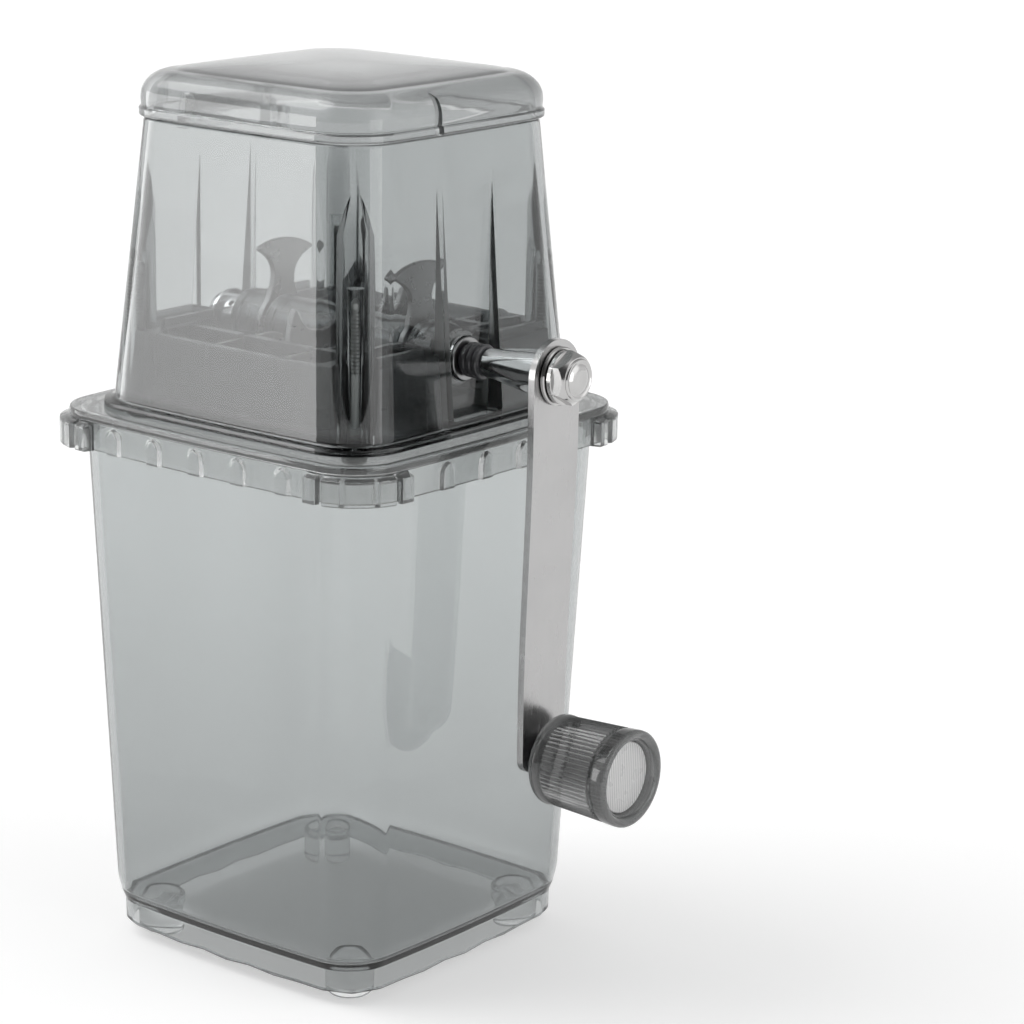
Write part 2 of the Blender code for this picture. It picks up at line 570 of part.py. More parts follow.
def build_arm():
    levels = []
    for k in range(9):
        a = math.radians(90 - 90 * k / 8)
        levels.append((AXIS_Z + ARM_HALF_TOP * math.sin(a), ARM_HALF_TOP * math.cos(a)))
    levels += [(AXIS_Z - 14, ARM_HALF_TOP - 0.05), (KNOB_Z + 14, ARM_HALF_LOW + 0.05)]
    for k in range(9):
        a = math.radians(-90 * k / 8)
        levels.append((KNOB_Z + ARM_END * math.sin(a), ARM_HALF_LOW * math.cos(a)))
    bm = bmesh.new()
    rows = []
    for z, half in levels:
        x = arm_x(z)
        ys = [-half, half] if half > 0.01 else [0.0]
        rows.append([[bm.verts.new((px * MM, y * MM, z * MM)) for y in ys] for px in (x, x + ARM_T)])
    for one, two in zip(rows, rows[1:]):
        for side in (0, 1):
            a, b = one[side], two[side]
            bm.faces.new(a + b[::-1])
        for end in (0, -1):
            bm.faces.new((one[0][end], one[1][end], two[1][end], two[0][end]))
    arm = from_bmesh(bm, "crank_arm", CHROME)
    cut(arm, revolve([(66, 0), (66, STUD_R + BORE_GAP), (80, STUD_R + BORE_GAP), (80, 0)], 20, AXIS_Z, closed=False))
    cut(arm, revolve([(66, 0), (66, 2.3), (80, 2.3), (80, 0)], 16, KNOB_Z, closed=False))
    return smooth(arm, 30)


def build_crank():
    build_arm()
    stud_bore = STUD_R + BORE_GAP
    sleeve = revolve([(RING_END_X + 0.4, stud_bore), (RING_END_X + 0.4, 3.9), (66.0, 5.9), (72.0, 6.6),
                      (ARM_X0 - GAP, 6.7), (ARM_X0 - GAP, stud_bore)], 28, AXIS_Z)
    smooth(from_bmesh(sleeve, "crank_sleeve", CHROME))
    face = ARM_X0 + ARM_T
    washer = revolve([(face + GAP, stud_bore), (face + GAP, 7.9), (face + GAP + 1.0, 7.9), (face + GAP + 1.2, 7.6),
                      (face + GAP + 1.2, stud_bore)], 28, AXIS_Z)
    smooth(from_bmesh(washer, "nut_washer", CHROME))

    corner = NUT_AF / 2 / math.cos(math.radians(30))
    hexagon = [(corner * math.sin(math.radians(60 * k)), AXIS_Z + corner * math.cos(math.radians(60 * k)))
               for k in range(6)]
    nut = from_bmesh(plate(hexagon, NUT_X0 + 0.5, NUT_X1 - 1.0), "dome_nut", CHROME)
    add(nut, revolve([(NUT_X0, 0), (NUT_X0, NUT_FLANGE_R), (NUT_X0 + NUT_FLANGE_T, NUT_FLANGE_R),
                      (NUT_X0 + NUT_FLANGE_T, 0)], 28, AXIS_Z, closed=False))
    add(nut, revolve([(NUT_X1 - 2.0, 0), (NUT_X1 - 2.0, 5.9), (NUT_X1 - 0.5, 5.9), (NUT_X1, 5.2), (NUT_X1 + 0.3, 3.0),
                      (NUT_X1 + 0.4, 0)], 24, AXIS_Z, closed=False))
    cut(nut, revolve([(NUT_X0 - 1, 0), (NUT_X0 - 1, stud_bore), (STUD_END_X + GAP, stud_bore), (STUD_END_X + GAP, 0)],
                     20, AXIS_Z, closed=False))
    smooth(nut, 30)

    low = arm_x(KNOB_Z)
    pin = revolve([(low - 1.7, 0), (low - 1.7, 3.2), (low - 1.2, 3.8), (low - GAP, 3.8), (low - GAP, 2.0),
                   (98.6, 2.0), (98.6, 3.6), (100.2, 3.6), (100.2, 0)], 20, KNOB_Z, closed=False)
    smooth(from_bmesh(pin, "knob_pin", STEEL))
    spacer = revolve([(low + ARM_T + GAP, 2.3), (low + ARM_T + GAP, 5.6), (KNOB_X0 - GAP, 5.0), (KNOB_X0 - GAP, 2.3)],
                     24, KNOB_Z)
    smooth(from_bmesh(spacer, "knob_washer", NYLON))


def build_knob():
    """Ribbed grip with a back ring, hollow in front; a ribbed disc sits in the front ring."""
    steps = KNOB_RIBS * 2
    bm = bmesh.new()

    def ring(x, radius, groove=0.0):
        made = []
        for k in range(steps):
            r = radius - (groove if k % 2 else 0.0)
            a = 2 * math.pi * k / steps
            made.append(bm.verts.new((x * MM, r * math.cos(a) * MM, (KNOB_Z + r * math.sin(a)) * MM)))
        return made

    def stretch(x):
        return KNOB_R_BACK + (KNOB_R_FRONT - KNOB_R_BACK) * (x - KNOB_X0) / (KNOB_X1 - KNOB_X0)

    back, front = KNOB_X0 + 1.6, KNOB_X1 - 2.6
    rings = [
        ring(KNOB_X0, 2.4), ring(KNOB_X0, KNOB_R_BACK - 0.6), ring(KNOB_X0 + 0.5, KNOB_R_BACK),
        ring(back, KNOB_R_BACK), ring(back + 0.3, stretch(back), 0.5), ring(front, stretch(front), 0.5),
        ring(front, KNOB_R_FRONT), ring(KNOB_X1 - 0.6, KNOB_R_FRONT), ring(KNOB_X1, KNOB_R_FRONT - 0.6),
        ring(KNOB_X1, KNOB_R_FRONT - 2.4), ring(98.2, KNOB_R_FRONT - 3.0), ring(98.2, 2.4),
    ]
    for one, two in zip(rings, rings[1:] + rings[:1]):
        for k in range(steps):
            n = (k + 1) % steps
            bm.faces.new((one[k], one[n], two[n], two[k]))
    smooth(from_bmesh(bm, "knob_grip", CLEAR_DARK), 20)
    disc_r = KNOB_R_FRONT - 3.2
    disc = revolve([(100.5, 0), (100.5, disc_r - 0.4), (100.8, disc_r), (101.7, disc_r), (102.0, disc_r - 0.4),
                    (102.0, 0)], 32, KNOB_Z, closed=False)
    smooth(from_bmesh(disc, "knob_cap", CLEAR))


# ---- lid ----------------------------------------------------------------------------------------
def build_lid():
    def ring(half, z, radius):
        return outline(half, radius, HOP_BOW), z

    outer = [
        ring(LID_BAND_HALF, LID_LOW_Z, LID_R + 0.6), ring(LID_BAND_HALF, LID_BAND_Z, LID_R + 0.6),
        ring(LID_HALF, LID_BAND_Z + 0.4, LID_R), ring(LID_HALF, 242.4, LID_R), ring(42.3, 244.9, LID_R - 0.5),
        ring(40.4, 246.9, LID_R - 1.5), ring(38.0, 248.0, LID_R - 3), ring(PANEL_HALF + 0.3, 248.3, PANEL_R + 0.3),
        ring(PANEL_HALF - 0.2, 248.9, PANEL_R), ring(33.0, 249.4, 9.0), ring(20.0, 249.9, 6.0),
        ring(8.0, LID_TOP_Z, 3.0),
    ]
    inner = [
        ring(8.0, LID_TOP_Z - LID_SHELL, 3.0), ring(33.0, 249.4 - LID_SHELL - 0.4, 8.0),
        ring(38.0, 245.6, LID_R - 4), ring(40.6, 243.4, LID_R - 2.6), ring(LID_HALF - LID_SHELL, 240.8, LID_R - 2),
        ring(LID_HALF - LID_SHELL, LID_LOW_Z, LID_R - 2),
    ]
    bm = bmesh.new()
    made = [[bm.verts.new((x * MM, y * MM, z * MM)) for x, y in pts] for pts, z in outer]
    under = [[bm.verts.new((x * MM, y * MM, z * MM)) for x, y in pts] for pts, z in inner]
    for run in (made, under):
        for low, high in zip(run, run[1:]):
            for i in range(len(low)):
                j = (i + 1) % len(low)
                bm.faces.new((low[i], low[j], high[j], high[i]))
    bm.faces.new(made[-1])
    bm.faces.new(under[0])
    for i in range(len(made[0])):
        j = (i + 1) % len(made[0])
        bm.faces.new((made[0][i], made[0][j], under[-1][j], under[-1][i]))
    lid = from_bmesh(bm, "lid_shell", CLEAR)
    # tapered slit in the crank-side wall
    half_low, half_top = SLIT_W_LOW / 2, SLIT_W_TOP / 2
    low_z = LID_LOW_Z - 1
    cut(lid, plate([(SLIT_Y - half_low, low_z), (SLIT_Y + half_low, low_z), (SLIT_Y + half_top, SLIT_TOP_Z),
                    (SLIT_Y - half_top, SLIT_TOP_Z)], 39.0, 50.0))
    # notches that clear the hopper's lugs, then the barrel between them
    for sy in (-1, 1):
        y0, y1 = sorted((sy * (LUG_Y0 - 0.5), sy * (LUG_Y1 + 0.5)))
        cut(lid, box(-50, -39.4, y0, y1, LID_LOW_Z - 2, HINGE_Z + HINGE_R + 0.6))
    add(lid, bar_y(HINGE_X, HINGE_Z, -BARREL_HALF_Y, BARREL_HALF_Y, HINGE_R, 16))
    cut(lid, bar_y(HINGE_X, HINGE_Z, -BARREL_HALF_Y - 1, BARREL_HALF_Y + 1, PIN_R + GAP, 12))
    smooth(lid, 30)
    pin = bar_y(HINGE_X, HINGE_Z, -LUG_Y1 - 0.2, LUG_Y1 + 0.2, PIN_R, 12)
    smooth(from_bmesh(pin, "hinge_pin", STEEL))


build_container()
build_feet()
build_collar()
build_hopper()
build_insert()
build_fixed_blades()
build_screws()
build_rotor()
build_crank()
build_knob()
build_lid()
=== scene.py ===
"""Looks for the hand-crank ice crusher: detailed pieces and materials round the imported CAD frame."""

import math

import bmesh
import bpy
from mathutils import Matrix, Vector


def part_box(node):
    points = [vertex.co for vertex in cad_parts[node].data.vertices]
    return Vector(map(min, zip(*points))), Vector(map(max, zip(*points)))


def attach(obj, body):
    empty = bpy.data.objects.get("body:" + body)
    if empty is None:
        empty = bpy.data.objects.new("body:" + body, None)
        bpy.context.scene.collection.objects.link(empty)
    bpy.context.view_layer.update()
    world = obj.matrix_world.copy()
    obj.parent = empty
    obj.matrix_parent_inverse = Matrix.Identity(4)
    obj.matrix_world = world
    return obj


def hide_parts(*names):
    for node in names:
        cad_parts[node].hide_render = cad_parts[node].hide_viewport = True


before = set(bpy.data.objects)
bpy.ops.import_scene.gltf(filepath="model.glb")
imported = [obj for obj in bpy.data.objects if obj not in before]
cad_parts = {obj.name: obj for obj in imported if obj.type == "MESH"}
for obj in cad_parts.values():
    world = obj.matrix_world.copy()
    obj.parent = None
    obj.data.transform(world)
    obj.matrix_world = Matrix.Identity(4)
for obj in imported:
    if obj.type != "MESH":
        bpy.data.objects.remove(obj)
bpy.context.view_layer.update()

MM = 0.001
GAP = 0.3
CORNERS = (("front_left", -1, -1), ("front_right", 1, -1), ("back_right", 1, 1), ("back_left", -1, 1))


def mid(node, axis):
    low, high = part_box(node)
    return (low[axis] + high[axis]) / 2 / MM


AXIS_X = mid("ice_container", 0)  # the body's upright axis, in mm
AXIS_Z = mid("drive_shaft", 2)
KNOB_Z = mid("knob_grip", 2)

# ---- sizes in mm, the same as the CAD's ------------------------------------------------------------
CORNER_STEPS, SIDE_STEPS, ROUND_STEPS = 14, 8, 64
SHARP_ANGLE, CAD_SHARP_ANGLE = 32.0, 35.0
WALL = 2.2
TUB_LOW_Z, TUB_TOP_Z, TUB_LOW_HALF, TUB_TOP_HALF, TUB_R = 17, 152.6, 50.2, 55.5, 13
SKIRT_WAVE = 15.5
FOOT_AT, FOOT_HOLE_R, FOOT_HOLE_TOP_Z = 35.5, 5.6, 11.1
COLLAR_HALF, COLLAR_R, COLLAR_BOW, COLLAR_POINTS = 58.6, 14.5, 2.0, 960
COLLAR_RIBS = ((0.0, 15.5, 31.0), (8.0, 24.0))  # distance from mid-side, for the plain and the bearing sides
RIB_HALF, RIB_ARCH_Z, BLOCK_FROM = 3.2, 149.3, 39.5
HOP_LOW_Z, HOP_TOP_Z, HOP_LOW_HALF, HOP_TOP_HALF = 157.6, 235.3, 49.4, 43.2
POST_AT, POST_R = 39.0, 4.9
PAD_X, PAD_HALF_Y, PAD_LOW_Z, PAD_TIP_Z = 44.2, 10.4, 159.0, 222.5
HINGE_X, HINGE_Z, HINGE_R = -43.0, 237.0, 2.4
BLADE_X, BLADE_TURN, FIXED_X = (-22.2, 2.7, 27.7), (4.0, 90.0, -3.0), (-9.8, 15.2)
SHAFT_R, STUD_R = 3.9, 2.9
ARM_X0, ARM_T, ARM_LEAN = 73.8, 2.0, 2.0
KNOB_RIBS, KNOB_RIB_FROM, KNOB_RIB_TO = 60, 82.2, 98.3


# ---- nodes for materials -------------------------------------------------------------------------
WHITE = (1.0, 1.0, 1.0, 1.0)
PLASTIC_IOR, DEEP_TINT = 1.49, (0.0, 0.025, 0.03, 1.0)
# the first band is where the painted shade in the hopper's corners fades out; the second marks the steps beside the
# bearing recesses
POST_SHADE_BAND, STEP_BAND = (0.031, 0.036), (0.020, 0.022)  # in m from the body's upright axis


class Paint:
    """A node material with one Principled shader; helpers add texture nodes in object space."""

    def __init__(self, name, colour, rough, metal=0.0, clear=0.0):
        self.mat = bpy.data.materials.new(name)
        self.mat.use_nodes = True
        self.tree = self.mat.node_tree
        self.shader = self.tree.nodes["Principled BSDF"]
        put = self.shader.inputs
        put["Base Color"].default_value = (*colour, 1.0)
        put["Roughness"].default_value = rough
        put["Metallic"].default_value = metal
        put["Transmission Weight"].default_value = clear
        put["IOR"].default_value = PLASTIC_IOR
        self.coords = self.node("ShaderNodeTexCoord")

    def node(self, kind, **settings):
        made = self.tree.nodes.new(kind)
        for key, value in settings.items():
            setattr(made, key, value)
        return made

    def link(self, a, b):
        self.tree.links.new(a, b)

    def noise(self, scale, detail=3.0, stretch=(1, 1, 1)):
        place = self.node("ShaderNodeMapping")
        place.inputs["Scale"].default_value = stretch
        self.link(self.coords.outputs["Object"], place.inputs["Vector"])
        made = self.node("ShaderNodeTexNoise")
        made.inputs["Scale"].default_value = scale
        made.inputs["Detail"].default_value = detail
        self.link(place.outputs["Vector"], made.inputs["Vector"])
        return made.outputs["Fac"]

    def span(self, value, low, high, from_low=0.3, from_high=0.7):
        made = self.node("ShaderNodeMapRange")
        for key, number in (("From Min", from_low), ("From Max", from_high), ("To Min", low), ("To Max", high)):
            made.inputs[key].default_value = number
        self.link(value, made.inputs["Value"])
        return made.outputs["Result"]

    def blend(self, value, one, two):
        made = self.node("ShaderNodeMix", data_type="RGBA")
        made.inputs["A"].default_value = (*one, 1.0)
        made.inputs["B"].default_value = (*two, 1.0)
        self.link(value, made.inputs["Factor"])
        return made.outputs["Result"]

    def darken(self, colour, value, tone):
        made = self.node("ShaderNodeMix", data_type="RGBA", blend_type="MULTIPLY")
        self.link(value, made.inputs["Factor"])
        self.link(colour, made.inputs["A"])
        made.inputs["B"].default_value = (tone, tone, tone, 1.0)
        return made.outputs["Result"]

    def maths(self, how, *values):
        made = self.node("ShaderNodeMath", operation=how)
        for n, value in enumerate(values):
            if isinstance(value, (int, float)):
                made.inputs[n].default_value = value
            else:
                self.link(value, made.inputs[n])
        return made.outputs[0]

    def colour(self, value, one, two):
        self.link(self.blend(value, one, two), self.shader.inputs["Base Color"])

    def rough(self, value, low, high):
        self.link(self.span(value, low, high), self.shader.inputs["Roughness"])

    def bump(self, *layers):
        normal = None
        for value, strength, depth in layers:
            made = self.node("ShaderNodeBump")
            made.inputs["Strength"].default_value = strength
            made.inputs["Distance"].default_value = depth
            self.link(value, made.inputs["Height"])
            if normal is not None:
                self.link(normal, made.inputs["Normal"])
            normal = made.outputs["Normal"]
        self.link(normal, self.shader.inputs["Normal"])


def clear_plastic(name, tint, depth_loss, low_rough, high_rough, clear=1.0, wave=0.02, low_shade_tone=1.0, low_z=0.0,
                  high_z=0.1, corner_shade_tone=1.0, step_rough=0.0):
    """Moulded clear plastic, darker the deeper it is: flow tone and waves, fine haze, painted shade towards its foot
    (its low tone) and painted shade in its corners over the corner posts (its corner tone). The steps beside the
    bearing recesses, which face sideways near the middle, are as dull as `step_rough`."""
    p = Paint(name, tint, low_rough, clear=clear)
    slow = p.noise(18.0, 2.0, (1, 1, 0.5))
    place = p.node("ShaderNodeSeparateXYZ")
    p.link(p.coords.outputs["Object"], place.inputs["Vector"])
    mixed = p.blend(p.span(slow, 0.0, 1.0), tint, tuple(c * 0.965 for c in tint))
    # painted shade: the plastic is made darker towards its foot, fully below low_z and fading out by high_z
    mixed = p.darken(mixed, p.span(place.outputs["Z"], 1.0, 0.0, low_z, high_z), low_shade_tone)
    # painted shade: the hopper's corners, over the corner posts, are made darker
    if corner_shade_tone < 1.0:
        across = p.maths("ABSOLUTE", p.maths("SUBTRACT", place.outputs["X"], AXIS_X * MM))
        nearer = p.maths("MINIMUM", across, p.maths("ABSOLUTE", place.outputs["Y"]))
        mixed = p.darken(mixed, p.span(nearer, 0.0, 1.0, *POST_SHADE_BAND), corner_shade_tone)
    p.link(mixed, p.shader.inputs["Base Color"])
    dull = p.span(p.noise(90.0, 4.0), low_rough, high_rough)
    if step_rough:
        facing = p.node("ShaderNodeSeparateXYZ")
        p.link(p.node("ShaderNodeNewGeometry").outputs["True Normal"], facing.inputs["Vector"])
        sideways = p.span(p.maths("ABSOLUTE", facing.outputs["Y"]), 0.0, 1.0, 0.8, 0.9)
        near = p.span(p.maths("ABSOLUTE", place.outputs["Y"]), step_rough, 0.0, *STEP_BAND)
        dull = p.maths("MAXIMUM", dull, p.maths("MULTIPLY", sideways, near))
    p.link(dull, p.shader.inputs["Roughness"])
    p.bump((p.noise(26.0, 1.0, (1, 1, 0.35)), wave, 0.002), (p.noise(300.0, 2.0), wave * 0.15, 0.0002))
    inside = p.node("ShaderNodeVolumeAbsorption")
    inside.inputs["Color"].default_value = DEEP_TINT
    inside.inputs["Density"].default_value = depth_loss
    p.link(inside.outputs["Volume"], p.tree.nodes["Material Output"].inputs["Volume"])
    return p.mat


SMOKE = clear_plastic("smoke_plastic", (0.862, 0.882, 0.882), 90, 0.015, 0.035, wave=0.012, low_shade_tone=0.84,
                      low_z=0.009, high_z=0.12)
SMOKE_HOPPER = clear_plastic("smoke_plastic_hopper", (0.75, 0.77, 0.77), 90, 0.015, 0.035, wave=0.015,
                             low_shade_tone=0.50, low_z=0.1584, high_z=0.1606, corner_shade_tone=0.96, step_rough=0.5)
SMOKE_COLLAR = clear_plastic("smoke_plastic_collar", (0.86, 0.87, 0.865), 70, 0.03, 0.07, clear=0.92, wave=0.05)
SMOKE_LID = clear_plastic("smoke_plastic_lid", (0.765, 0.78, 0.78), 100, 0.03, 0.07, clear=0.86, wave=0.012)
SMOKE_TRAY = clear_plastic("smoke_plastic_tray", (0.55, 0.56, 0.57), 260, 0.06, 0.12, clear=0.8)
SMOKE_DRUM = clear_plastic("smoke_plastic_drum", (0.66, 0.68, 0.69), 60, 0.05, 0.12)
SMOKE_FOOT = clear_plastic("smoke_foot", (0.91, 0.92, 0.92), 10, 0.10, 0.2, clear=0.95, wave=0.03)


def ribbed_smoke():
    """The grip's smoke plastic: pale crests along its ribs, painted shade in the grooves between them and painted
    shade on the back ring.
    """
    p = Paint("smoke_plastic_knob", (0.3, 0.305, 0.305), 0.06, clear=0.68)
    place = p.node("ShaderNodeSeparateXYZ")
    p.link(p.coords.outputs["Object"], place.inputs["Vector"])
    up = p.maths("SUBTRACT", place.outputs["Z"], KNOB_Z * MM)
    around = p.maths("MULTIPLY", p.maths("ARCTAN2", up, place.outputs["Y"]), KNOB_RIBS)
    crest = p.span(p.maths("COSINE", around), 0.0, 1.0, -0.7, 0.9)
    from_back = p.span(place.outputs["X"], 0.0, 1.0, (KNOB_RIB_FROM - 0.1) * MM, (KNOB_RIB_FROM + 0.3) * MM)
    to_front = p.span(place.outputs["X"], 1.0, 0.0, (KNOB_RIB_TO - 0.3) * MM, (KNOB_RIB_TO + 0.1) * MM)
    # painted shade: the grooves between the ribs are made darker
    groove = p.maths("MULTIPLY", p.maths("SUBTRACT", 1.0, crest), p.maths("MULTIPLY", from_back, to_front))
    pale = p.blend(p.span(p.noise(60.0, 2.0), 0.0, 1.0), (0.42, 0.425, 0.425), (0.36, 0.365, 0.365))
    # painted shade: the back ring, on the arm's side, is made darker
    back_ring_shade = p.span(place.outputs["X"], 1.0, 0.0, (KNOB_RIB_FROM - 1.2) * MM, (KNOB_RIB_FROM - 0.4) * MM)
    p.link(p.darken(p.darken(pale, groove, 0.13), back_ring_shade, 0.55), p.shader.inputs["Base Color"])
    p.rough(p.noise(150.0, 3.0), 0.04, 0.10)
    p.bump((p.noise(300.0, 2.0), 0.02, 0.0002),)
    return p.mat


SMOKE_KNOB = ribbed_smoke()


def chrome(name, colour, dull, low_rough, high_rough, stretch):
    p = Paint(name, colour, low_rough, metal=1.0)
    p.colour(p.span(p.noise(60.0, 3.0), 0.0, 1.0), colour, dull)
    p.rough(p.noise(300.0, 3.0, stretch), low_rough, high_rough)
    p.bump((p.noise(900.0, 2.0, stretch), 0.015, 0.0001), (p.noise(40.0, 1.0), 0.02, 0.001))
    return p.mat


CHROME = chrome("chrome_plate", (0.84, 0.84, 0.84), (0.76, 0.76, 0.77), 0.05, 0.14, (1, 1, 1))
NICKEL = chrome("nickel_plate", (0.56, 0.555, 0.55), (0.46, 0.457, 0.455), 0.08, 0.2, (1, 1, 1))
ARM = chrome("chrome_arm", (0.485, 0.48, 0.48), (0.45, 0.447, 0.447), 0.20, 0.28, (1, 3, 0.4))
STEEL = chrome("blade_steel", (0.33, 0.33, 0.33), (0.28, 0.28, 0.285), 0.26, 0.32, (1, 1, 1))
ZINC = chrome("screw_zinc", (0.60, 0.60, 0.59), (0.50, 0.50, 0.49), 0.28, 0.42, (3, 3, 1))


def nylon():
    p = Paint("nylon_dark", (0.10, 0.10, 0.105), 0.14, clear=0.35)
    p.colour(p.span(p.noise(120.0, 4.0), 0.0, 1.0), (0.13, 0.13, 0.14), (0.07, 0.07, 0.075))
    p.rough(p.noise(250.0), 0.10, 0.2)
    p.bump((p.noise(700.0, 2.0), 0.04, 0.0002),)
    return p.mat


def knob_disc():
    p = Paint("knob_disc", (0.80, 0.80, 0.80), 0.3)
    wave = p.node("ShaderNodeTexWave", wave_type="BANDS", bands_direction="Y")
    wave.inputs["Scale"].default_value = 380.0
    p.link(p.coords.outputs["Object"], wave.inputs["Vector"])
    p.colour(wave.outputs["Fac"], (0.46, 0.46, 0.46), (0.76, 0.76, 0.76))
    p.rough(p.noise(200.0), 0.22, 0.4)
    p.bump((wave.outputs["Fac"], 0.3, 0.0004),)
    return p.mat


NYLON, DISC = nylon(), knob_disc()

# ---- mesh helpers ----------------------------------------------------------------------------------
cutters = []


def keep(bm, name, cutter=False):
    bmesh.ops.recalc_face_normals(bm, faces=bm.faces)
    bmesh.ops.translate(bm, verts=bm.verts, vec=(AXIS_X * MM, 0, 0))
    mesh = bpy.data.meshes.new(name)
    bm.to_mesh(mesh)
    bm.free()
    made = bpy.data.objects.new(name, mesh)
    bpy.context.scene.collection.objects.link(made)
    if cutter:
        made.hide_render = True
        cutters.append(made)
    return made


def outline(half, radius, bow):
    """A square of half width `half` at mid-side, with rounded corners and sides that bow out by `bow`."""
    edge = half - bow
    centre = edge - radius
    points = []
    for quarter in range(4):
        turn = math.radians(90 * quarter)
        run = []
        for step in range(CORNER_STEPS + 1):
            a = math.radians(-90 + 90 * step / CORNER_STEPS)
            run.append((centre + radius * math.cos(a), -centre + radius * math.sin(a)))
        for step in range(1, SIDE_STEPS):
            t = step / SIDE_STEPS
            run.append((edge, -centre + 2 * centre * t))
        for x, y in run:
            if abs(x) > abs(y):
                x += bow * (1 - min(1, abs(y) / edge) ** 2)
            else:
                y -= bow * (1 - min(1, abs(x) / edge) ** 2)
            points.append((x * math.cos(turn) - y * math.sin(turn), x * math.sin(turn) + y * math.cos(turn)))
    return points


def points_in(bm, rings):
    return [[bm.verts.new((x * MM, y * MM, z * MM)) for x, y, z in ring] for ring in rings]


def join_rings(bm, rings):
    for low, high in zip(rings, rings[1:]):
        for i in range(len(low)):
            j = (i + 1) % len(low)
            bm.faces.new((low[i], low[j], high[j], high[i]))


def skin(rings):
    """A closed skin over rings of (x, y, z) points, with its first and last ring capped."""
    bm = bmesh.new()
    made = points_in(bm, rings)
    join_rings(bm, made)
    bm.faces.new(made[0])
    bm.faces.new(made[-1])
    return bm


def flat(points, z):
    return [(x, y, z) for x, y in points]


def revolve(profile, steps, height, turn=0.0, loop=True, rim=None):
    """Spin (x, radius) pairs about the line along X at that height. `rim` may change a radius by angle."""
    bm = bmesh.new()
    rings = []
    for x, radius in profile:
        if radius == 0:
            rings.append([bm.verts.new((x * MM, 0, height * MM))])
            continue
        ring = []
        for k in range(steps):
            a = 2 * math.pi * k / steps + turn
            r = radius if rim is None else rim(x, radius, a)
            ring.append(bm.verts.new((x * MM, r * math.cos(a) * MM, (height + r * math.sin(a)) * MM)))
        rings.append(ring)
    for one, two in list(zip(rings, rings[1:])) + ([(rings[-1], rings[0])] if loop else []):
        for k in range(steps):
            n = (k + 1) % steps
            if len(one) == 1:
                bm.faces.new((one[0], two[k], two[n]))
            elif len(two) == 1:
                bm.faces.new((one[k], one[n], two[0]))
            else:
                bm.faces.new((one[k], one[n], two[n], two[k]))
    return bm


def plate(points, x0, x1):
    bm = bmesh.new()
    back = [bm.verts.new((x0 * MM, y * MM, z * MM)) for y, z in points]
    front = [bm.verts.new((x1 * MM, y * MM, z * MM)) for y, z in points]
    bm.faces.new(back)
    bm.faces.new(front)
    for i in range(len(points)):
        j = (i + 1) % len(points)
        bm.faces.new((back[i], back[j], front[j], front[i]))
    return bm


def block(x0, x1, y0, y1, z0, z1):
    bm = bmesh.new()
    bmesh.ops.create_cube(bm, size=1.0)
    size = Vector((abs(x1 - x0), abs(y1 - y0), abs(z1 - z0))) * MM
    middle = Vector((x0 + x1, y0 + y1, z0 + z1)) * (MM / 2)
    bmesh.ops.transform(bm, matrix=Matrix.Translation(middle) @ Matrix.Diagonal((*size, 1)), verts=bm.verts)
    return bm


def round_block(x0, x1, y0, y1, z0, z1, radius, axis, segments=5):
    """A block with its edges along one axis rounded."""
    bm = block(x0, x1, y0, y1, z0, z1)
    along = [e for e in bm.edges if abs((e.verts[0].co - e.verts[1].co).normalized()[axis]) > 0.9]
    bmesh.ops.bevel(bm, geom=along, offset=radius * MM, segments=segments, affect="EDGES", profile=0.5)
    return bm


def pole(x, y, levels, steps=32):
    """An upright round piece through (z, radius) levels."""
    turns = [2 * math.pi * k / steps for k in range(steps)]
    return skin([[(x + r * math.cos(a), y + r * math.sin(a), z) for a in turns] for z, r in levels])


def bar_y(x, z, y0, y1, r, steps=32):
    bm = revolve([(y0, r), (y1, r)], steps, 0.0, loop=False)
    for end in (y0, y1):
        bm.faces.new([v for v in bm.verts if abs(v.co.x - end * MM) < 1e-7])
    bmesh.ops.transform(bm, verts=bm.verts, matrix=Matrix.Translation((x * MM, 0, z * MM))
                        @ Matrix.Rotation(math.pi / 2, 4, "Z"))
    return bm


def combine(obj, other, how):
    mod = obj.modifiers.new(how.title(), "BOOLEAN")
    mod.operation, mod.solver, mod.object = how, "EXACT", other


def cut(obj, bm):
    combine(obj, keep(bm, obj.name + "_cut", cutter=True), "DIFFERENCE")


def add(obj, bm):
    combine(obj, keep(bm, obj.name + "_add", cutter=True), "UNION")


def bake(obj):
    """Make the modifiers' result the object's own mesh."""
    bpy.context.view_layer.update()
    done = bpy.data.meshes.new_from_object(obj.evaluated_get(bpy.context.evaluated_depsgraph_get()))
    obj.modifiers.clear()
    obj.data = done


def shade(obj, paint, angle):
    """Smooth shading with sharp edges from `angle`, and one material."""
    for face in obj.data.polygons:
        face.use_smooth = True
    obj.data.set_sharp_from_angle(angle=math.radians(angle))
    obj.data.materials.clear()
    obj.data.materials.append(paint)


def finish(obj, body, paint, node, edge=0.0, segments=2):
    """Bake, soften edges, shade, paint, and put the piece in its node's place on its body."""
    if obj.modifiers:
        bake(obj)
    if edge:
        mod = obj.modifiers.new("Bevel", "BEVEL")
        mod.width, mod.segments = edge * MM, segments
        mod.limit_method, mod.angle_limit = "ANGLE", math.radians(SHARP_ANGLE)
        mod.use_clamp_overlap = True
        mod.harden_normals = False
        bake(obj)
    shade(obj, paint, SHARP_ANGLE)
    even = obj.modifiers.new("Even", "WEIGHTED_NORMAL")
    even.keep_sharp, even.weight = True, 100
    bake(obj)
    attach(obj, body)
    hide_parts(node)


# ---- container --------------------------------------------------------------------------------------
def tub_half(z):
    return TUB_LOW_HALF + (TUB_TOP_HALF - TUB_LOW_HALF) * (z - TUB_LOW_Z) / (TUB_TOP_Z - TUB_LOW_Z)


def tub_bow(z):
    return 1.6 + 0.4 * (z - TUB_LOW_Z) / (TUB_TOP_Z - TUB_LOW_Z)


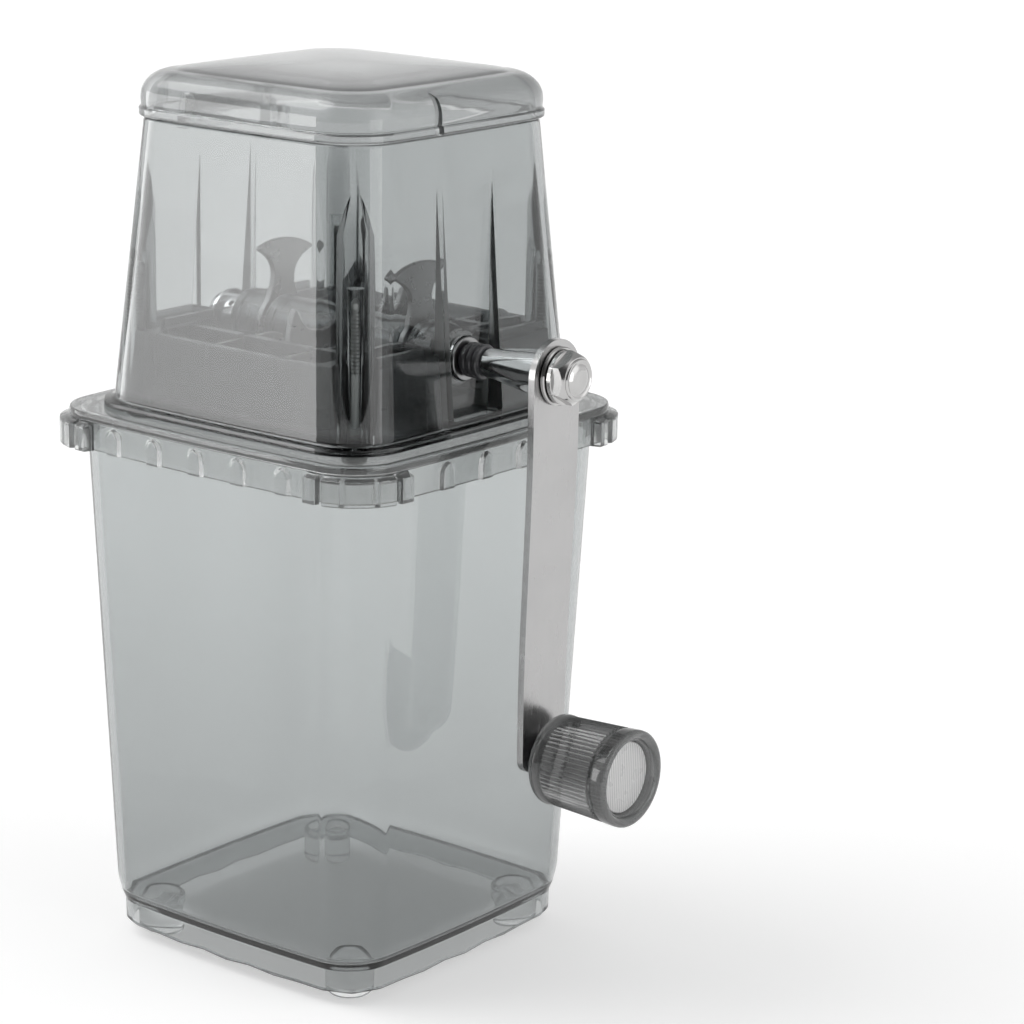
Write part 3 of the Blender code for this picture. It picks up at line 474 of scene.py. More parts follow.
def build_container():
    def ring(half, radius, z, bow=1.6, wave=0.0):
        points = outline(half, radius, bow)
        return [(x, y, z - wave * (1 - math.cos(2 * math.pi * (y if abs(x) > abs(y) else x) / SKIRT_WAVE)) / 2)
                for x, y in points]

    def turn_in(half, z, radius, steps=8):
        """Rings of a rounded bottom edge, from the flat below it to the wall above it."""
        made = []
        for k in range(steps + 1):
            a = math.radians(90 * k / steps)
            corner = TUB_R - (TUB_LOW_HALF - half) - radius * 0.35 * (1 - math.sin(a))
            made.append(ring(half - radius + radius * math.sin(a), corner, z + radius * (1 - math.cos(a))))
        return made

    under = [ring(45.9, 9.3, 10.2), ring(46.2, 9.5, 10.0), ring(46.3, 9.6, 9.7), ring(46.3, 9.6, 3.9, wave=-0.7),
             ring(46.8, 10.0, 3.2, wave=-0.7)]
    outer = [ring(47.6, 10.8, 3.2, wave=-0.7), ring(48.1, 11.2, 3.9, wave=-0.7), ring(48.3, 11.4, 10.2)]
    outer += [ring(half, 11.5 + (half - 48.3) * 0.8, z) for half, z in
              ((48.5, 10.9), (48.85, 11.7), (49.2, 12.7), (49.55, 13.9), (49.85, 15.2), (50.1, 16.6), (50.3, 18.5))]
    for z in (50, 80, 110, 135):
        outer.append(ring(tub_half(z), TUB_R, z, tub_bow(z)))
    outer += [ring(55.45, TUB_R, 151.8, 2.0), ring(55.2, 12.8, 152.4, 2.0), ring(54.6, 12.3, TUB_TOP_Z, 2.0)]
    inner = [ring(54.2, 11.9, TUB_TOP_Z, 2.0), ring(53.5, 11.2, 152.4, 2.0), ring(53.3, 10.9, 151.8, 2.0)]
    for z in (135, 110, 80, 50):
        inner.append(ring(tub_half(z) - WALL, TUB_R - WALL, z, tub_bow(z)))
    inner += list(reversed(turn_in(48.0, 12.0, 2.4)))
    tub = keep(skin(under + outer + inner), "container_tub")
    for _, sx, sy in CORNERS:
        cut(tub, pole(sx * FOOT_AT, sy * FOOT_AT, [(5.0, FOOT_HOLE_R), (FOOT_HOLE_TOP_Z, FOOT_HOLE_R)]))
    finish(tub, "container", SMOKE, "ice_container")

    for name, sx, sy in CORNERS:
        foot = keep(pole(sx * FOOT_AT, sy * FOOT_AT, [(0.0, 5.2), (0.25, 5.9), (0.9, 6.4), (1.8, 6.6), (9.4, 6.6),
                                                      (9.6, 6.4), (9.6, 5.3), (10.6, 5.3), (10.8, 5.0)], 40),
                    "foot_pad_" + name)
        finish(foot, "container", SMOKE_FOOT, "foot_" + name)


# ---- collar -----------------------------------------------------------------------------------------
def side_point(s, out):
    """The point `out` beyond the collar's outline, at distance s along it from the middle of the -Y side."""
    edge = COLLAR_HALF - COLLAR_BOW
    centre = edge - COLLAR_R
    arc = COLLAR_R * math.pi / 2
    whole = 2 * centre + arc
    quarter = math.floor((s + centre) / whole)
    s -= quarter * whole
    if s <= centre:
        x, y, nx, ny = s, -(edge + COLLAR_BOW * (1 - (s / edge) ** 2)), 0.0, -1.0
    else:
        a = (s - centre) / COLLAR_R - math.pi / 2
        nx, ny = math.cos(a), math.sin(a)
        x, y = centre + COLLAR_R * nx, -centre + COLLAR_R * ny
        swell = COLLAR_BOW * (1 - (centre / edge) ** 2)
        y -= swell * max(0.0, -math.sin(a))
        x += swell * max(0.0, math.cos(a))
    x, y = x + nx * out, y + ny * out
    turn = math.radians(90 * quarter)
    return x * math.cos(turn) - y * math.sin(turn), x * math.sin(turn) + y * math.cos(turn)


def collar_length():
    centre = COLLAR_HALF - COLLAR_BOW - COLLAR_R
    return 4 * (2 * centre + COLLAR_R * math.pi / 2)


def build_collar():
    whole = collar_length()
    quarter = whole / 4

    def ramp(t):
        t = min(1.0, max(0.0, t))
        return t * t * (3 - 2 * t)

    def proud(s, z):
        """How far the skirt stands out: corner blocks with a groove in each end, arched ribs between."""
        side = round(s / quarter)
        d = abs(s - side * quarter)
        into = d - BLOCK_FROM
        if into > 0:
            groove = ramp(1 - abs(into - 4.9) / 0.9)
            corner = ramp(1 - abs(d - quarter / 2) / 1.0)
            top = ramp((153.0 - z) / 1.0)
            return (3.05 * ramp(into / 0.5 + 0.2) * (1 - 0.75 * groove) - 0.35 * corner) * (0.35 + 0.65 * top)
        for at in COLLAR_RIBS[side % 2]:
            half = RIB_HALF
            if z > RIB_ARCH_Z:
                half = math.sqrt(max(0.0, RIB_HALF ** 2 - (z - RIB_ARCH_Z) ** 2))
            if abs(d - at) < half:
                return 1.0 * ramp((half - abs(d - at)) / 1.3)
        return 0.0

    along = [whole * k / COLLAR_POINTS for k in range(COLLAR_POINTS)]
    rings = []
    for z in (145.25, 145.4, 146.2, 147.5, 148.7, 149.5, 150.2, 150.9, 151.4, 151.8, 152.1, 152.35, 152.6, 152.8,
              153.0):
        foot = 0.12 if z < 145.3 else 0.0
        rings.append(flat([side_point(s, proud(s, z) - foot) for s in along], z))
    for out, z in ((0.2, 153.12), (0.3, 153.4), (0.3, 154.7), (0.1, 155.2), (-0.4, 155.4)):
        rings.append(flat([side_point(s, out) for s in along], z))
    body = keep(skin(rings), "collar_ring")
    inside = COLLAR_HALF - 2.0
    cut(body, skin([flat(outline(inside, COLLAR_R - 1.4, COLLAR_BOW), z) for z in (144.0, 152.6)]
                   + [flat(outline(inside - 0.5, COLLAR_R - 1.9, COLLAR_BOW), 153.0)]))
    cut(body, skin([flat(outline(44.0, 12.0, 1.0), z) for z in (150.0, 157.0)]))
    for _, sx, sy in CORNERS:
        cut(body, pole(sx * POST_AT, sy * POST_AT, [(150.0, 2.2), (157.0, 2.2)], 24))
    # pockets that keep the corner blocks' walls even, open below, with thin webs between them
    for corner in range(4):
        for near, far in ((-10.6, -4.6), (-3.4, 3.4), (4.6, 10.6)):
            marks = [quarter * (corner + 0.5) + near + (far - near) * k / 8 for k in range(9)]
            loop = [side_point(at, 1.5) for at in marks] + [side_point(at, -0.7) for at in reversed(marks)]
            cut(body, skin([flat(loop, 144.0), flat(loop, 151.2)]))
    finish(body, "head", SMOKE_COLLAR, "collar_frame")


# ---- hopper -----------------------------------------------------------------------------------------
def hop_half(z):
    return HOP_LOW_HALF + (HOP_TOP_HALF - HOP_LOW_HALF) * (z - HOP_LOW_Z) / (HOP_TOP_Z - HOP_LOW_Z)


def build_hopper():
    def ring(half, z, radius=14.0):
        return flat(outline(half, radius, 1.0), z)

    shell = keep(skin([
        ring(51.6, 155.7, 15), ring(51.8, 155.9, 15), ring(51.8, 157.1, 15), ring(51.6, 157.45, 15),
        ring(51.2, HOP_LOW_Z, 15), ring(50.2, 157.7), ring(49.7, 158.0), ring(49.35, 158.6),
        ring(hop_half(190), 190), ring(hop_half(215), 215), ring(hop_half(234.6), 234.6),
        ring(hop_half(HOP_TOP_Z) - 0.25, 235.2), ring(hop_half(HOP_TOP_Z) - 0.6, HOP_TOP_Z)]), "hopper_wall")
    hollow = keep(skin([ring(hop_half(154.7) - WALL, 154.7, 11.8), ring(hop_half(234.8) - WALL, 234.8, 11.8),
                        ring(hop_half(236.3) - WALL + 0.6, 236.3, 11.8)]), "hopper_hollow", cutter=True)
    for _, sx, sy in CORNERS:
        cut(hollow, pole(sx * POST_AT, sy * POST_AT, [(153.0, POST_R), (212.0, POST_R), (227.5, 1.0)]))
    reach = PAD_X - WALL
    for side in (-1, 1):
        cut(hollow, block(side * reach, side * (reach + 12), -PAD_HALF_Y - 1.0, PAD_HALF_Y + 1.0,
                          PAD_LOW_Z - WALL, PAD_TIP_Z + 12))
    cut(hollow, block(-60, -37.6, -21.2, 21.2, 229.8, 240))
    bake(hollow)
    combine(shell, hollow, "DIFFERENCE")
    for side in (-1, 1):
        cut(shell, round_block(side * PAD_X, side * 60, -PAD_HALF_Y, PAD_HALF_Y, PAD_LOW_Z, PAD_TIP_Z + 14, 1.2, 0))
        a, b = sorted((side * 38, side * 50))
        cut(shell, revolve([(a, 0), (a, 6.3), (b, 6.3), (b, 0)], 48, AXIS_Z, loop=False))
    for _, sx, sy in CORNERS:
        cut(shell, pole(sx * POST_AT, sy * POST_AT, [(154.7, 2.3), (198.5, 2.3)], 24))
    cut(shell, round_block(-60, -39.4, -19.2, 19.2, 231.6, 245, 3.0, 0))
    for sy in (-1, 1):
        y0, y1 = sorted((sy * 14.0, sy * 17.2))
        add(shell, block(HINGE_X - 0.2, -39.0, y0, y1, 231.0, HINGE_Z + 0.4))
        add(shell, bar_y(HINGE_X, HINGE_Z, y0, y1, HINGE_R))
    cut(shell, bar_y(HINGE_X, HINGE_Z, -18.2, 18.2, 1.5, 24))
    finish(shell, "head", SMOKE_HOPPER, "hopper_shell")
    for name, sx, sy in CORNERS:
        x, y = sx * POST_AT, sy * POST_AT
        threads = [(z, 1.8 if k % 2 else 1.62) for k, z in enumerate([176.0 + 0.5 * i for i in range(36)])]
        screw = keep(pole(x, y, [(149.9, 3.0), (150.3, 3.4), (152.3, 3.4), (152.6, 3.1), (152.6, 1.8), (175.6, 1.8),
                                 *threads, (194.6, 1.7), (195.5, 0.9)], 24), "post_screw_part_" + name)
        cut(screw, pole(x, y, [(149.0, 1.5), (151.2, 1.5)], 6))
        finish(screw, "head", ZINC, "post_screw_" + name)


# ---- grinding insert --------------------------------------------------------------------------------
def build_insert():
    def ring(half, z):
        return flat(outline(half, 11.0, 1.0), z)

    body = keep(skin([ring(46.2, 155.7), ring(46.5, 156.0), ring(44.85, 177.1), ring(44.5, 177.5)]), "grinding_tray")
    for sx in (-1, 1):
        for sy in (-1, 1):
            add(body, round_block(sx * 32.4, sx * 42.6, sy * 13.4, sy * 36.0, 173.5, 179.5, 1.2, 0, 4))
    cut(body, revolve([(-31, 0), (-31, 27.0), (31, 27.0), (31, 0)], 96, AXIS_Z, turn=0.02, loop=False))
    for sx in (-1, 1):
        for sy in (-1, 1):
            for low, high in ((154.7, 163.5), (166.0, 181.0)):
                cut(body, round_block(sx * 34.0, sx * 41.0, sy * 15.0, sy * 34.4, low, high, 1.2, 2, 4))
    for sy in (-1, 1):
        cut(body, round_block(-29.4, 29.4, sy * 29.5, sy * 42.2, 165.0, 178.5, 2.0, 2, 4))
    for side in (-1, 1):
        cut(body, block(side * (PAD_X - WALL - 0.4), side * 60, -12.9, 12.9, 154.7, 190))
        cut(body, round_block(side * 29, side * 55, -10.5, 10.5, 164.0, 191, 3.0, 0, 6))
    for _, sx, sy in CORNERS:
        cut(body, pole(sx * POST_AT, sy * POST_AT, [(154.7, 6.0), (190, 6.0)], 40))
    for x in FIXED_X:
        cut(body, block(x - 1.05, x + 1.05, -41.9, 41.9, 168.3, 178.5))
    finish(body, "head", SMOKE_TRAY, "grinding_insert", edge=0.3)
    tooth = [(11.0, 171.8), (12.2, 170.3), (14.0, 169.5), (17.0, 168.9), (20.0, 168.6), (41.6, 168.6),
             (41.6, 176.6), (19.0, 176.6), (16.0, 176.3), (13.5, 175.3), (11.8, 173.6)]
    number = 0
    for x in FIXED_X:
        for sy in (-1, 1):
            number += 1
            blade = keep(plate([(sy * y, z) for y, z in tooth], x - 0.75, x + 0.75), f"fixed_cutter_{number}")
            finish(blade, "head", STEEL, f"fixed_blade_{number}", edge=0.2)


# ---- rotor ------------------------------------------------------------------------------------------
def blade_outline():
    """Double-ended axe: flared heads on hollow-sided necks round a hub, in its (across, up) axes."""
    reach, tip = 24.5, 10.8
    head = math.asin(tip / reach)
    top = [(reach * math.sin(head * k / 12), reach * math.cos(head * k / 12)) for k in range(-12, 13)]
    tip_y = reach * math.cos(head)
    start, bend, end = Vector((tip - 0.25, tip_y - 0.8)), Vector((4.2, tip_y - 3.4)), Vector((4.1, 14.0))
    side = []
    for k in range(11):
        t = k / 10
        p = start * (1 - t) ** 2 + bend * 2 * t * (1 - t) + end * t * t
        side.append((p.x, p.y))
    side += [(4.2, 12.4), (4.6, 10.8), (5.3, 9.2)]
    hub = [(9.3 * math.cos(math.radians(a)), 9.3 * math.sin(math.radians(a))) for a in range(50, -51, -10)]
    right = side + hub + [(x, -y) for x, y in reversed(side)]
    return top + right + [(x, -y) for x, y in reversed(top)] + [(-x, -y) for x, y in right]


def build_rotor():
    bore = SHAFT_R + GAP
    for n, (x, turn) in enumerate(zip(BLADE_X, BLADE_TURN), 1):
        a = math.radians(turn)
        points = [(u * math.cos(a) + v * math.sin(a), AXIS_Z - u * math.sin(a) + v * math.cos(a))
                  for u, v in blade_outline()]
        blade = keep(plate(points, x - 1.0, x + 1.0), f"rotor_axe_{n}")
        cut(blade, revolve([(x - 3, 0), (x - 3, bore), (x + 3, bore), (x + 3, 0)], 48, AXIS_Z, loop=False))
        finish(blade, "rotor", STEEL, f"rotor_blade_{n}", edge=0.35, segments=3)

    ends = [-33.6]
    for x in BLADE_X:
        ends += [x - 1.3, x + 1.3]
    ends.append(37.4)
    for n in range(4):
        x0, x1 = ends[2 * n], ends[2 * n + 1]
        lip = min(3.0, (x1 - x0) / 4)
        drum = revolve([(x0, bore), (x0, 8.2), (x0 + 0.2, 8.6), (x0 + 0.6, 8.8), (x0 + lip, 8.8),
                        (x0 + lip + 0.5, 8.3), (x1 - lip - 0.5, 8.3), (x1 - lip, 8.8), (x1 - 0.6, 8.8),
                        (x1 - 0.2, 8.6), (x1, 8.2), (x1, bore)], ROUND_STEPS, AXIS_Z)
        finish(keep(drum, f"drum_part_{n + 1}"), "rotor", SMOKE_DRUM, f"drum_spacer_{n + 1}")

    idle = keep(revolve([(-44.4, bore), (-44.4, 5.8), (-44.2, 6.0), (-41.7, 6.0), (-41.7, 7.3), (-41.4, 7.6),
                         (-40.7, 7.6), (-40.4, 7.3), (-40.4, 6.0), (-34.6, 6.0), (-34.2, 5.8), (-34.0, 5.4),
                         (-34.0, bore)], ROUND_STEPS, AXIS_Z), "idle_bush_part")
    for k in range(4):
        a = math.radians(43 + 90 * k)
        hole = pole(0, 0, [(3.0, 1.0), (7.5, 1.0)], 20)
        bmesh.ops.transform(hole, verts=hole.verts, matrix=Matrix.Translation((-37.2 * MM, 0, AXIS_Z * MM))
                            @ Matrix.Rotation(a, 4, "X"))
        cut(idle, hole)
    finish(idle, "head", CHROME, "idle_bush")
    stud = STUD_R + GAP
    drive = revolve([(40.0, stud), (40.0, 7.3), (40.3, 7.6), (41.4, 7.6), (41.7, 7.3), (41.7, 6.0), (45.0, 6.0),
                     (45.2, 5.8), (45.2, stud)], ROUND_STEPS, AXIS_Z)
    finish(keep(drive, "drive_bush_part"), "head", STEEL, "drive_bush")
    rings = [(45.5, stud), (45.5, 4.3)]
    for x in (46.4, 48.4, 50.4):
        rings += [(x - 0.5, 4.1), (x - 0.3, 4.6), (x, 4.8), (x + 0.9, 4.8), (x + 1.2, 4.6), (x + 1.4, 4.1)]
    rings += [(52.1, 4.0), (52.1, stud)]
    finish(keep(revolve(rings, ROUND_STEPS, AXIS_Z), "drive_bush_rings"), "head", NYLON, "drive_bush")


# ---- crank ------------------------------------------------------------------------------------------
def arm_x(z):
    high, low = AXIS_Z - 14, KNOB_Z + 14
    t = min(1.0, max(0.0, (high - z) / (high - low)))
    return ARM_X0 - ARM_LEAN * (3 * t * t - 2 * t * t * t)


def build_crank():
    steps = 24
    levels = []
    for k in range(steps + 1):
        a = math.radians(90 - 90 * k / steps)
        levels.append((AXIS_Z + 9.8 * math.sin(a), 9.8 * math.cos(a)))
    for k in range(1, 16):
        t = k / 16
        levels.append((AXIS_Z + (KNOB_Z - AXIS_Z) * t, 9.8 - 0.8 * t))
    for k in range(steps + 1):
        a = math.radians(-90 * k / steps)
        levels.append((KNOB_Z + 4.8 * math.sin(a), 9.0 * math.cos(a)))
    bm = bmesh.new()
    rows = []
    for z, half in levels:
        x = arm_x(z)
        ys = [-half, half] if half > 0.01 else [0.0]
        rows.append([[bm.verts.new((px * MM, y * MM, z * MM)) for y in ys] for px in (x, x + ARM_T)])
    for one, two in zip(rows, rows[1:]):
        for side in (0, 1):
            bm.faces.new(one[side] + two[side][::-1])
        for end in (0, -1):
            bm.faces.new((one[0][end], one[1][end], two[1][end], two[0][end]))
    arm = keep(bm, "crank_arm_part")
    cut(arm, revolve([(66, 0), (66, 3.2), (80, 3.2), (80, 0)], 40, AXIS_Z, loop=False))
    cut(arm, revolve([(66, 0), (66, 2.3), (80, 2.3), (80, 0)], 32, KNOB_Z, loop=False))
    finish(arm, "rotor", ARM, "crank_arm", edge=0.45, segments=3)

    stud = STUD_R + GAP
    sleeve = revolve([(52.6, stud), (52.6, 3.7), (52.9, 3.95), (58.0, 4.6), (63.0, 5.4), (66.0, 5.85), (69.0, 6.25),
                      (72.0, 6.55), (73.1, 6.65), (73.5, 6.4), (73.5, stud)], ROUND_STEPS, AXIS_Z)
    finish(keep(sleeve, "crank_sleeve_part"), "rotor", CHROME, "crank_sleeve")
    washer = revolve([(76.1, stud), (76.1, 7.7), (76.3, 7.9), (77.0, 7.9), (77.3, 7.6), (77.3, stud)],
                     ROUND_STEPS, AXIS_Z)
    finish(keep(washer, "nut_washer_part"), "rotor", NICKEL, "nut_washer")
    corner = 6.4 / math.cos(math.radians(30))
    hexagon = [(corner * math.sin(math.radians(60 * k)), AXIS_Z + corner * math.cos(math.radians(60 * k)))
               for k in range(6)]
    nut = keep(plate(hexagon, 78.1, 83.3), "cap_nut_part")
    # the turned cone takes the hexagon's corners off; a flange stands behind it and a low dome on its face
    cone = revolve([(77.0, 0), (77.0, 9.0), (80.6, 7.6), (82.5, 6.1), (82.7, 5.9), (82.7, 0)], ROUND_STEPS, AXIS_Z,
                   loop=False)
    combine(nut, keep(cone, "nut_cone", cutter=True), "INTERSECT")
    add(nut, revolve([(77.6, 0), (77.6, 7.1), (77.8, 7.3), (78.9, 7.3), (79.1, 7.1), (79.2, 0)], ROUND_STEPS, AXIS_Z,
                     turn=0.02, loop=False))
    add(nut, revolve([(82.0, 0), (82.0, 5.6), (82.9, 5.6), (83.2, 5.35), (83.25, 5.0), (83.0, 4.6), (82.95, 4.2),
                      (83.3, 3.7), (83.6, 2.9), (83.75, 1.9), (83.6, 1.3), (83.62, 0.8), (83.7, 0)], 48, AXIS_Z,
                     turn=0.03, loop=False))
    cut(nut, revolve([(76, 0), (76, stud), (81.9, stud), (81.9, 0)], 32, AXIS_Z, turn=0.05, loop=False))
    finish(nut, "rotor", NICKEL, "dome_nut", edge=0.12)


# ---- knob -------------------------------------------------------------------------------------------
def build_knob():
    def rim(x, radius, a):
        if KNOB_RIB_FROM < x < KNOB_RIB_TO:
            return radius - 0.6 * (1 - (0.5 + 0.5 * math.cos(KNOB_RIBS * a)) ** 0.7)
        return radius

    def grow(x):
        return 12.2 + 1.2 * (x - 77.6) / 26.6

    profile = [(77.6, 2.4), (77.6, 10.8), (77.8, 11.5), (78.3, 12.1), (79.0, 12.5), (79.9, 12.6), (80.7, 12.5),
               (81.3, 12.2), (81.6, 11.8), (81.9, 11.7), (82.1, 11.8), (82.3, grow(82.3)), (85.0, grow(85.0)),
               (91.0, grow(91.0)), (96.0, grow(96.0)), (98.2, grow(98.2)), (98.4, 12.4), (98.8, 12.3), (99.1, 12.7),
               (99.5, 13.1), (100.2, 13.3), (102.8, 13.4), (103.6, 13.3), (104.0, 13.0), (104.2, 12.5),
               (104.2, 11.9), (104.0, 11.4), (103.5, 10.8), (102.8, 10.4), (101.9, 10.2), (98.2, 10.2), (98.2, 2.4)]
    grip = revolve(profile, KNOB_RIBS * 8, KNOB_Z, rim=rim)
    finish(keep(grip, "knob_grip_part"), "knob", SMOKE_KNOB, "knob_grip")
    disc = keep(revolve([(99.9, 0), (99.9, 9.6), (100.2, 9.9), (101.2, 9.9), (101.5, 9.6), (101.3, 9.0),
                         (101.3, 0)], ROUND_STEPS, KNOB_Z, loop=False), "knob_disc_part")
    finish(disc, "knob", DISC, "knob_cap")


# ---- lid --------------------------------------------------------------------------------------------
def build_lid():
    def ring(half, z, radius):
        return flat(outline(half, radius, 1.0), z)

    outer = [ring(44.0, 235.9, 14.4), ring(44.3, 236.2, 14.6), ring(44.3, 237.8, 14.6), ring(44.0, 238.15, 14.4),
             ring(43.5, 238.3, 14.0), ring(43.5, 238.5, 14.0), ring(43.7, 238.8, 14.0), ring(43.8, 240.6, 14.0)]
    for k in range(1, 10):
        a = math.radians(90 * k / 10)
        outer.append(ring(36.8 + 7.0 * math.cos(a), 240.9 + 7.2 * math.sin(a), 10.5 + 3.5 * math.cos(a)))
    outer += [ring(36.4, 248.17, 10.4), ring(35.9, 248.26, 10.2), ring(35.4, 248.38, 10.0), ring(34.9, 248.51, 9.9),
              ring(34.3, 248.64, 9.6), ring(33.3, 248.80, 9.2), ring(30.0, 249.20, 8.6), ring(24.0, 249.63, 7.0),
              ring(14.0, 249.93, 4.5), ring(5.0, 250.0, 2.0)]
    inner = [ring(5.0, 248.0, 2.0), ring(24.0, 247.8, 7.0), ring(33.0, 247.2, 9.0), ring(36.0, 246.6, 9.4)]
    for k in range(9, 0, -1):
        a = math.radians(90 * k / 10)
        inner.append(ring(35.6 + 6.1 * math.cos(a), 240.4 + 6.2 * math.sin(a), 9.4 + 2.6 * math.cos(a)))
    inner += [ring(41.75, 240.0, 12.0), ring(41.75, 236.2, 12.0), ring(42.0, 235.9, 12.2)]
    bm = bmesh.new()
    made, under = points_in(bm, outer), points_in(bm, inner)
    for run in (made, under, [made[0], under[-1]]):
        join_rings(bm, run)
    bm.faces.new(made[-1])
    bm.faces.new(under[0])
    lid = keep(bm, "lid_dome")
    cut(lid, plate([(-12.1, 234.9), (-9.9, 234.9), (-10.5, 245.6), (-11.5, 245.6)], 39.0, 50.0))
    for sy in (-1, 1):
        cut(lid, block(-50, -39.4, sy * 13.5, sy * 17.7, 233.9, HINGE_Z + HINGE_R + 0.6))
    add(lid, round_block(-41.0, -37.0, -29.6, 11.4, 243.2, 246.4, 0.8, 1, 3))
    for y in (-29.0, 10.8):
        add(lid, block(-41.9, -37.4, y - 0.6, y + 0.6, 238.8, 244.0))
    add(lid, bar_y(HINGE_X, HINGE_Z, -13.6, 13.6, HINGE_R))
    cut(lid, bar_y(HINGE_X, HINGE_Z, -14.6, 14.6, 1.5, 24))
    finish(lid, "lid", SMOKE_LID, "lid_shell")
    pin = bar_y(HINGE_X, HINGE_Z, -17.4, 17.4, 1.2)
    finish(keep(pin, "hinge_pin_part"), "head", STEEL, "hinge_pin", edge=0.25)


for build in (build_container, build_collar, build_hopper, build_insert, build_rotor, build_crank, build_knob,
              build_lid):
    build()
for other in cutters:
    bpy.data.objects.remove(other, do_unlink=True)
for node, paint in (("drive_shaft", STEEL), ("retaining_clip", STEEL), ("knob_pin", STEEL), ("knob_washer", NYLON)):
    shade(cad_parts[node], paint, CAD_SHARP_ANGLE)


# ---- studio -----------------------------------------------------------------------------------------
WORLD_LEVEL, FLOOR_GLOW = 0.92, 0.48
# broad soft lights and dark flags: direction, where its edge starts and ends, and how much it adds
LOBES = (((-0.75, -0.45, 0.5), 0.6, 0.95, 0.9), ((0.26, -0.93, 0.25), 0.25, 0.8, -0.85),
         ((0.9, 0.3, 0.45), 0.85, 0.99, 0.7), ((-0.1, 0.6, 0.75), 0.6, 0.95, -0.5))
# cards that only reflections see: a wide one puts the pale veil on the hopper's left face, and a narrow one puts
# the bright line down its near corner; turn in degrees, distance, half width, low and high edge in m, and power
CARDS = (("soft_box", -57.0, 0.86, 0.37, 0.01, 0.40, 5.0), ("strip_box", 85.0, 0.80, 0.185, 0.05, 0.40, 3.0))
SUN_AIM, SUN_POWER, SUN_SOFT = (0.7, 0.45, -1.0), 0.8, 40.0


def link_stage(name, bm, paint):
    mesh = bpy.data.meshes.new(name)
    bm.to_mesh(mesh)
    bm.free()
    mesh.materials.append(paint)
    made = bpy.data.objects.new(name, mesh)
    bpy.context.scene.collection.objects.link(made)
    return made


def build_floor():
    p = Paint("floor_pale", (0.60, 0.60, 0.60), 0.9)
    p.colour(p.span(p.noise(3.0), 0.0, 1.0), (0.60, 0.60, 0.60), (0.59, 0.59, 0.59))
    p.shader.inputs["Emission Color"].default_value = WHITE
    p.shader.inputs["Emission Strength"].default_value = FLOOR_GLOW
    bm = bmesh.new()
    bmesh.ops.create_grid(bm, x_segments=8, y_segments=8, size=12.0)
    link_stage("floor_pale", bm, p.mat)


def build_world():
    world = bpy.data.worlds.new("studio")
    world.use_nodes = True
    tree = world.node_tree
    coords = tree.nodes.new("ShaderNodeTexCoord")
    level = None
    for aim, start, end, amount in LOBES:
        lobe = tree.nodes.new("ShaderNodeVectorMath")
        lobe.operation = "DOT_PRODUCT"
        tree.links.new(coords.outputs["Generated"], lobe.inputs[0])
        lobe.inputs[1].default_value = Vector(aim).normalized()
        span = tree.nodes.new("ShaderNodeMapRange")
        span.interpolation_type = "SMOOTHSTEP"
        for key, number in (("From Min", start), ("From Max", end), ("To Min", 0.0), ("To Max", amount)):
            span.inputs[key].default_value = number
        tree.links.new(lobe.outputs["Value"], span.inputs["Value"])
        total = tree.nodes.new("ShaderNodeMath")
        total.operation = "ADD"
        tree.links.new(span.outputs["Result"], total.inputs[0])
        if level is None:
            total.inputs[1].default_value = WORLD_LEVEL
        else:
            tree.links.new(level, total.inputs[1])
        level = total.outputs[0]
    back = tree.nodes["Background"]
    tree.links.new(level, back.inputs["Strength"])
    back.inputs["Color"].default_value = WHITE
    bpy.context.scene.world = world


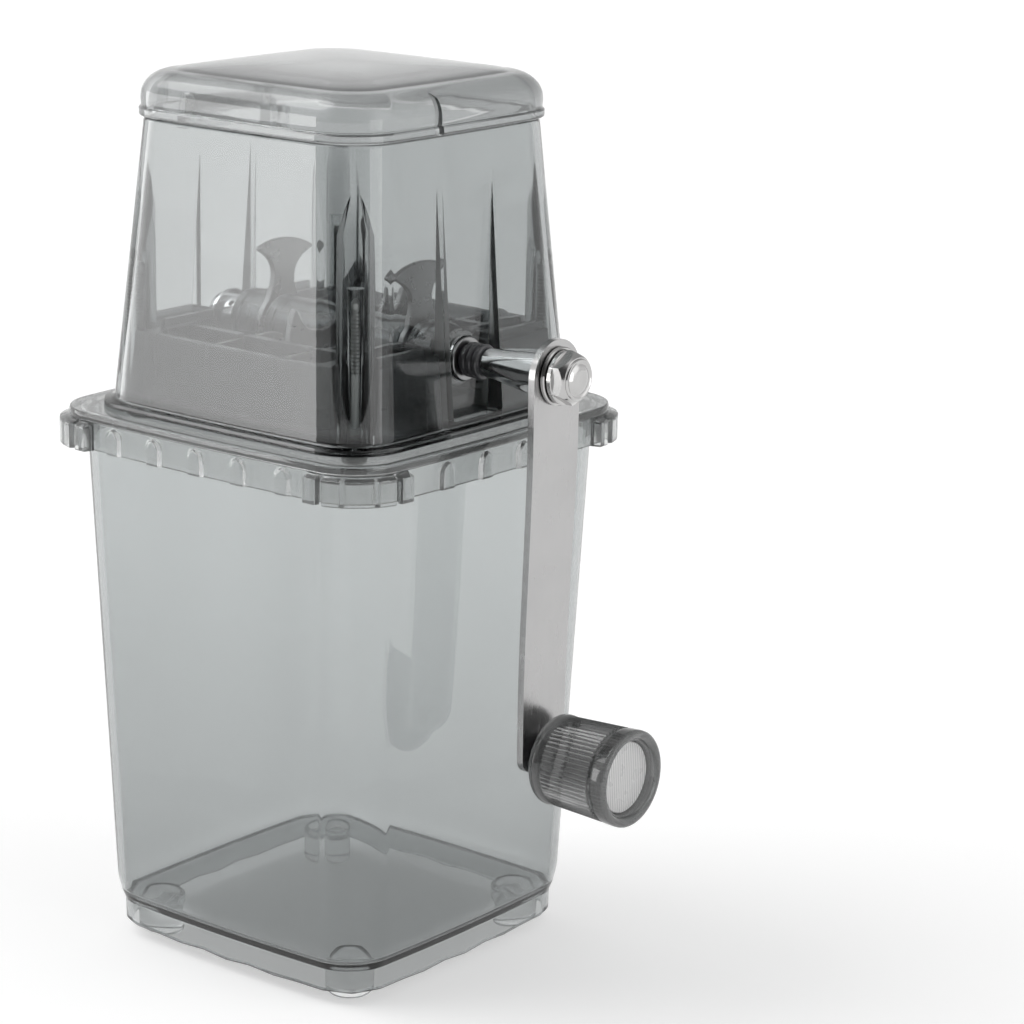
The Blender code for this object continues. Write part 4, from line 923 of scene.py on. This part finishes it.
def build_lights():
    data = bpy.data.lights.new("key", "SUN")
    data.energy, data.angle = SUN_POWER, math.radians(SUN_SOFT)
    sun = bpy.data.objects.new("key", data)
    sun.rotation_euler = Vector(SUN_AIM).to_track_quat("-Z", "Y").to_euler()
    bpy.context.scene.collection.objects.link(sun)
    for name, turn, away, half_wide, low, high, power in CARDS:
        p = Paint(name, (0.0, 0.0, 0.0), 1.0)
        p.shader.inputs["Emission Color"].default_value = WHITE
        p.rough(p.noise(3.0), 0.9, 1.0)
        side = p.node("ShaderNodeSeparateXYZ")
        p.link(p.coords.outputs["Generated"], side.inputs["Vector"])
        p.link(p.span(side.outputs["X"], power * 0.84, power * 1.18, 0.62, 0.95), p.shader.inputs["Emission Strength"])
        turn = math.radians(turn)
        place = Vector((math.sin(turn), -math.cos(turn), 0.0)) * away
        along = Vector((-place.y, place.x, 0)).normalized()
        bm = bmesh.new()
        bm.faces.new([bm.verts.new(place + along * u + Vector((0, 0, v)))
                      for u, v in ((-half_wide, low), (half_wide, low), (half_wide, high), (-half_wide, high))])
        card = link_stage(name, bm, p.mat)
        card.visible_camera = card.visible_diffuse = card.visible_transmission = card.visible_shadow = False


def set_up_scene():
    scene = bpy.context.scene
    scene.view_settings.view_transform = "Standard"
    scene.cycles.max_bounces = scene.cycles.transmission_bounces = 24
    scene.cycles.glossy_bounces = 8


# turn, yaw, pitch and roll in degrees, reach and height in m, lens and sensor in mm
CAM_TURN, CAM_REACH, CAM_HEIGHT = 41.3664, 0.8945, 0.3635
CAM_YAW, CAM_PITCH, CAM_ROLL = -3.0892, 14.9794, 1.0969
CAM_LENS, SENSOR_WIDTH = 115.5121875, 36.0


def build_camera():
    data = bpy.data.cameras.new("camera")
    data.sensor_width = SENSOR_WIDTH
    data.lens = CAM_LENS
    camera = bpy.data.objects.new("camera", data)
    turn = math.radians(CAM_TURN)
    camera.location = (AXIS_X * MM + CAM_REACH * math.sin(turn), -CAM_REACH * math.cos(turn), CAM_HEIGHT)
    heading, pitch, roll = turn + math.radians(CAM_YAW), math.radians(CAM_PITCH), math.radians(CAM_ROLL)
    ahead = Vector((-math.sin(heading) * math.cos(pitch), math.cos(heading) * math.cos(pitch), -math.sin(pitch)))
    right = ahead.cross(Vector((0, 0, 1))).normalized()
    up = right.cross(ahead)
    right, up = right * math.cos(roll) + up * math.sin(roll), up * math.cos(roll) - right * math.sin(roll)
    camera.rotation_euler = Matrix((right, up, -ahead)).transposed().to_euler()
    data.clip_start, data.clip_end = 0.05, 50.0
    bpy.context.scene.collection.objects.link(camera)
    bpy.context.scene.camera = camera


build_floor()
build_world()
build_lights()
set_up_scene()
build_camera()
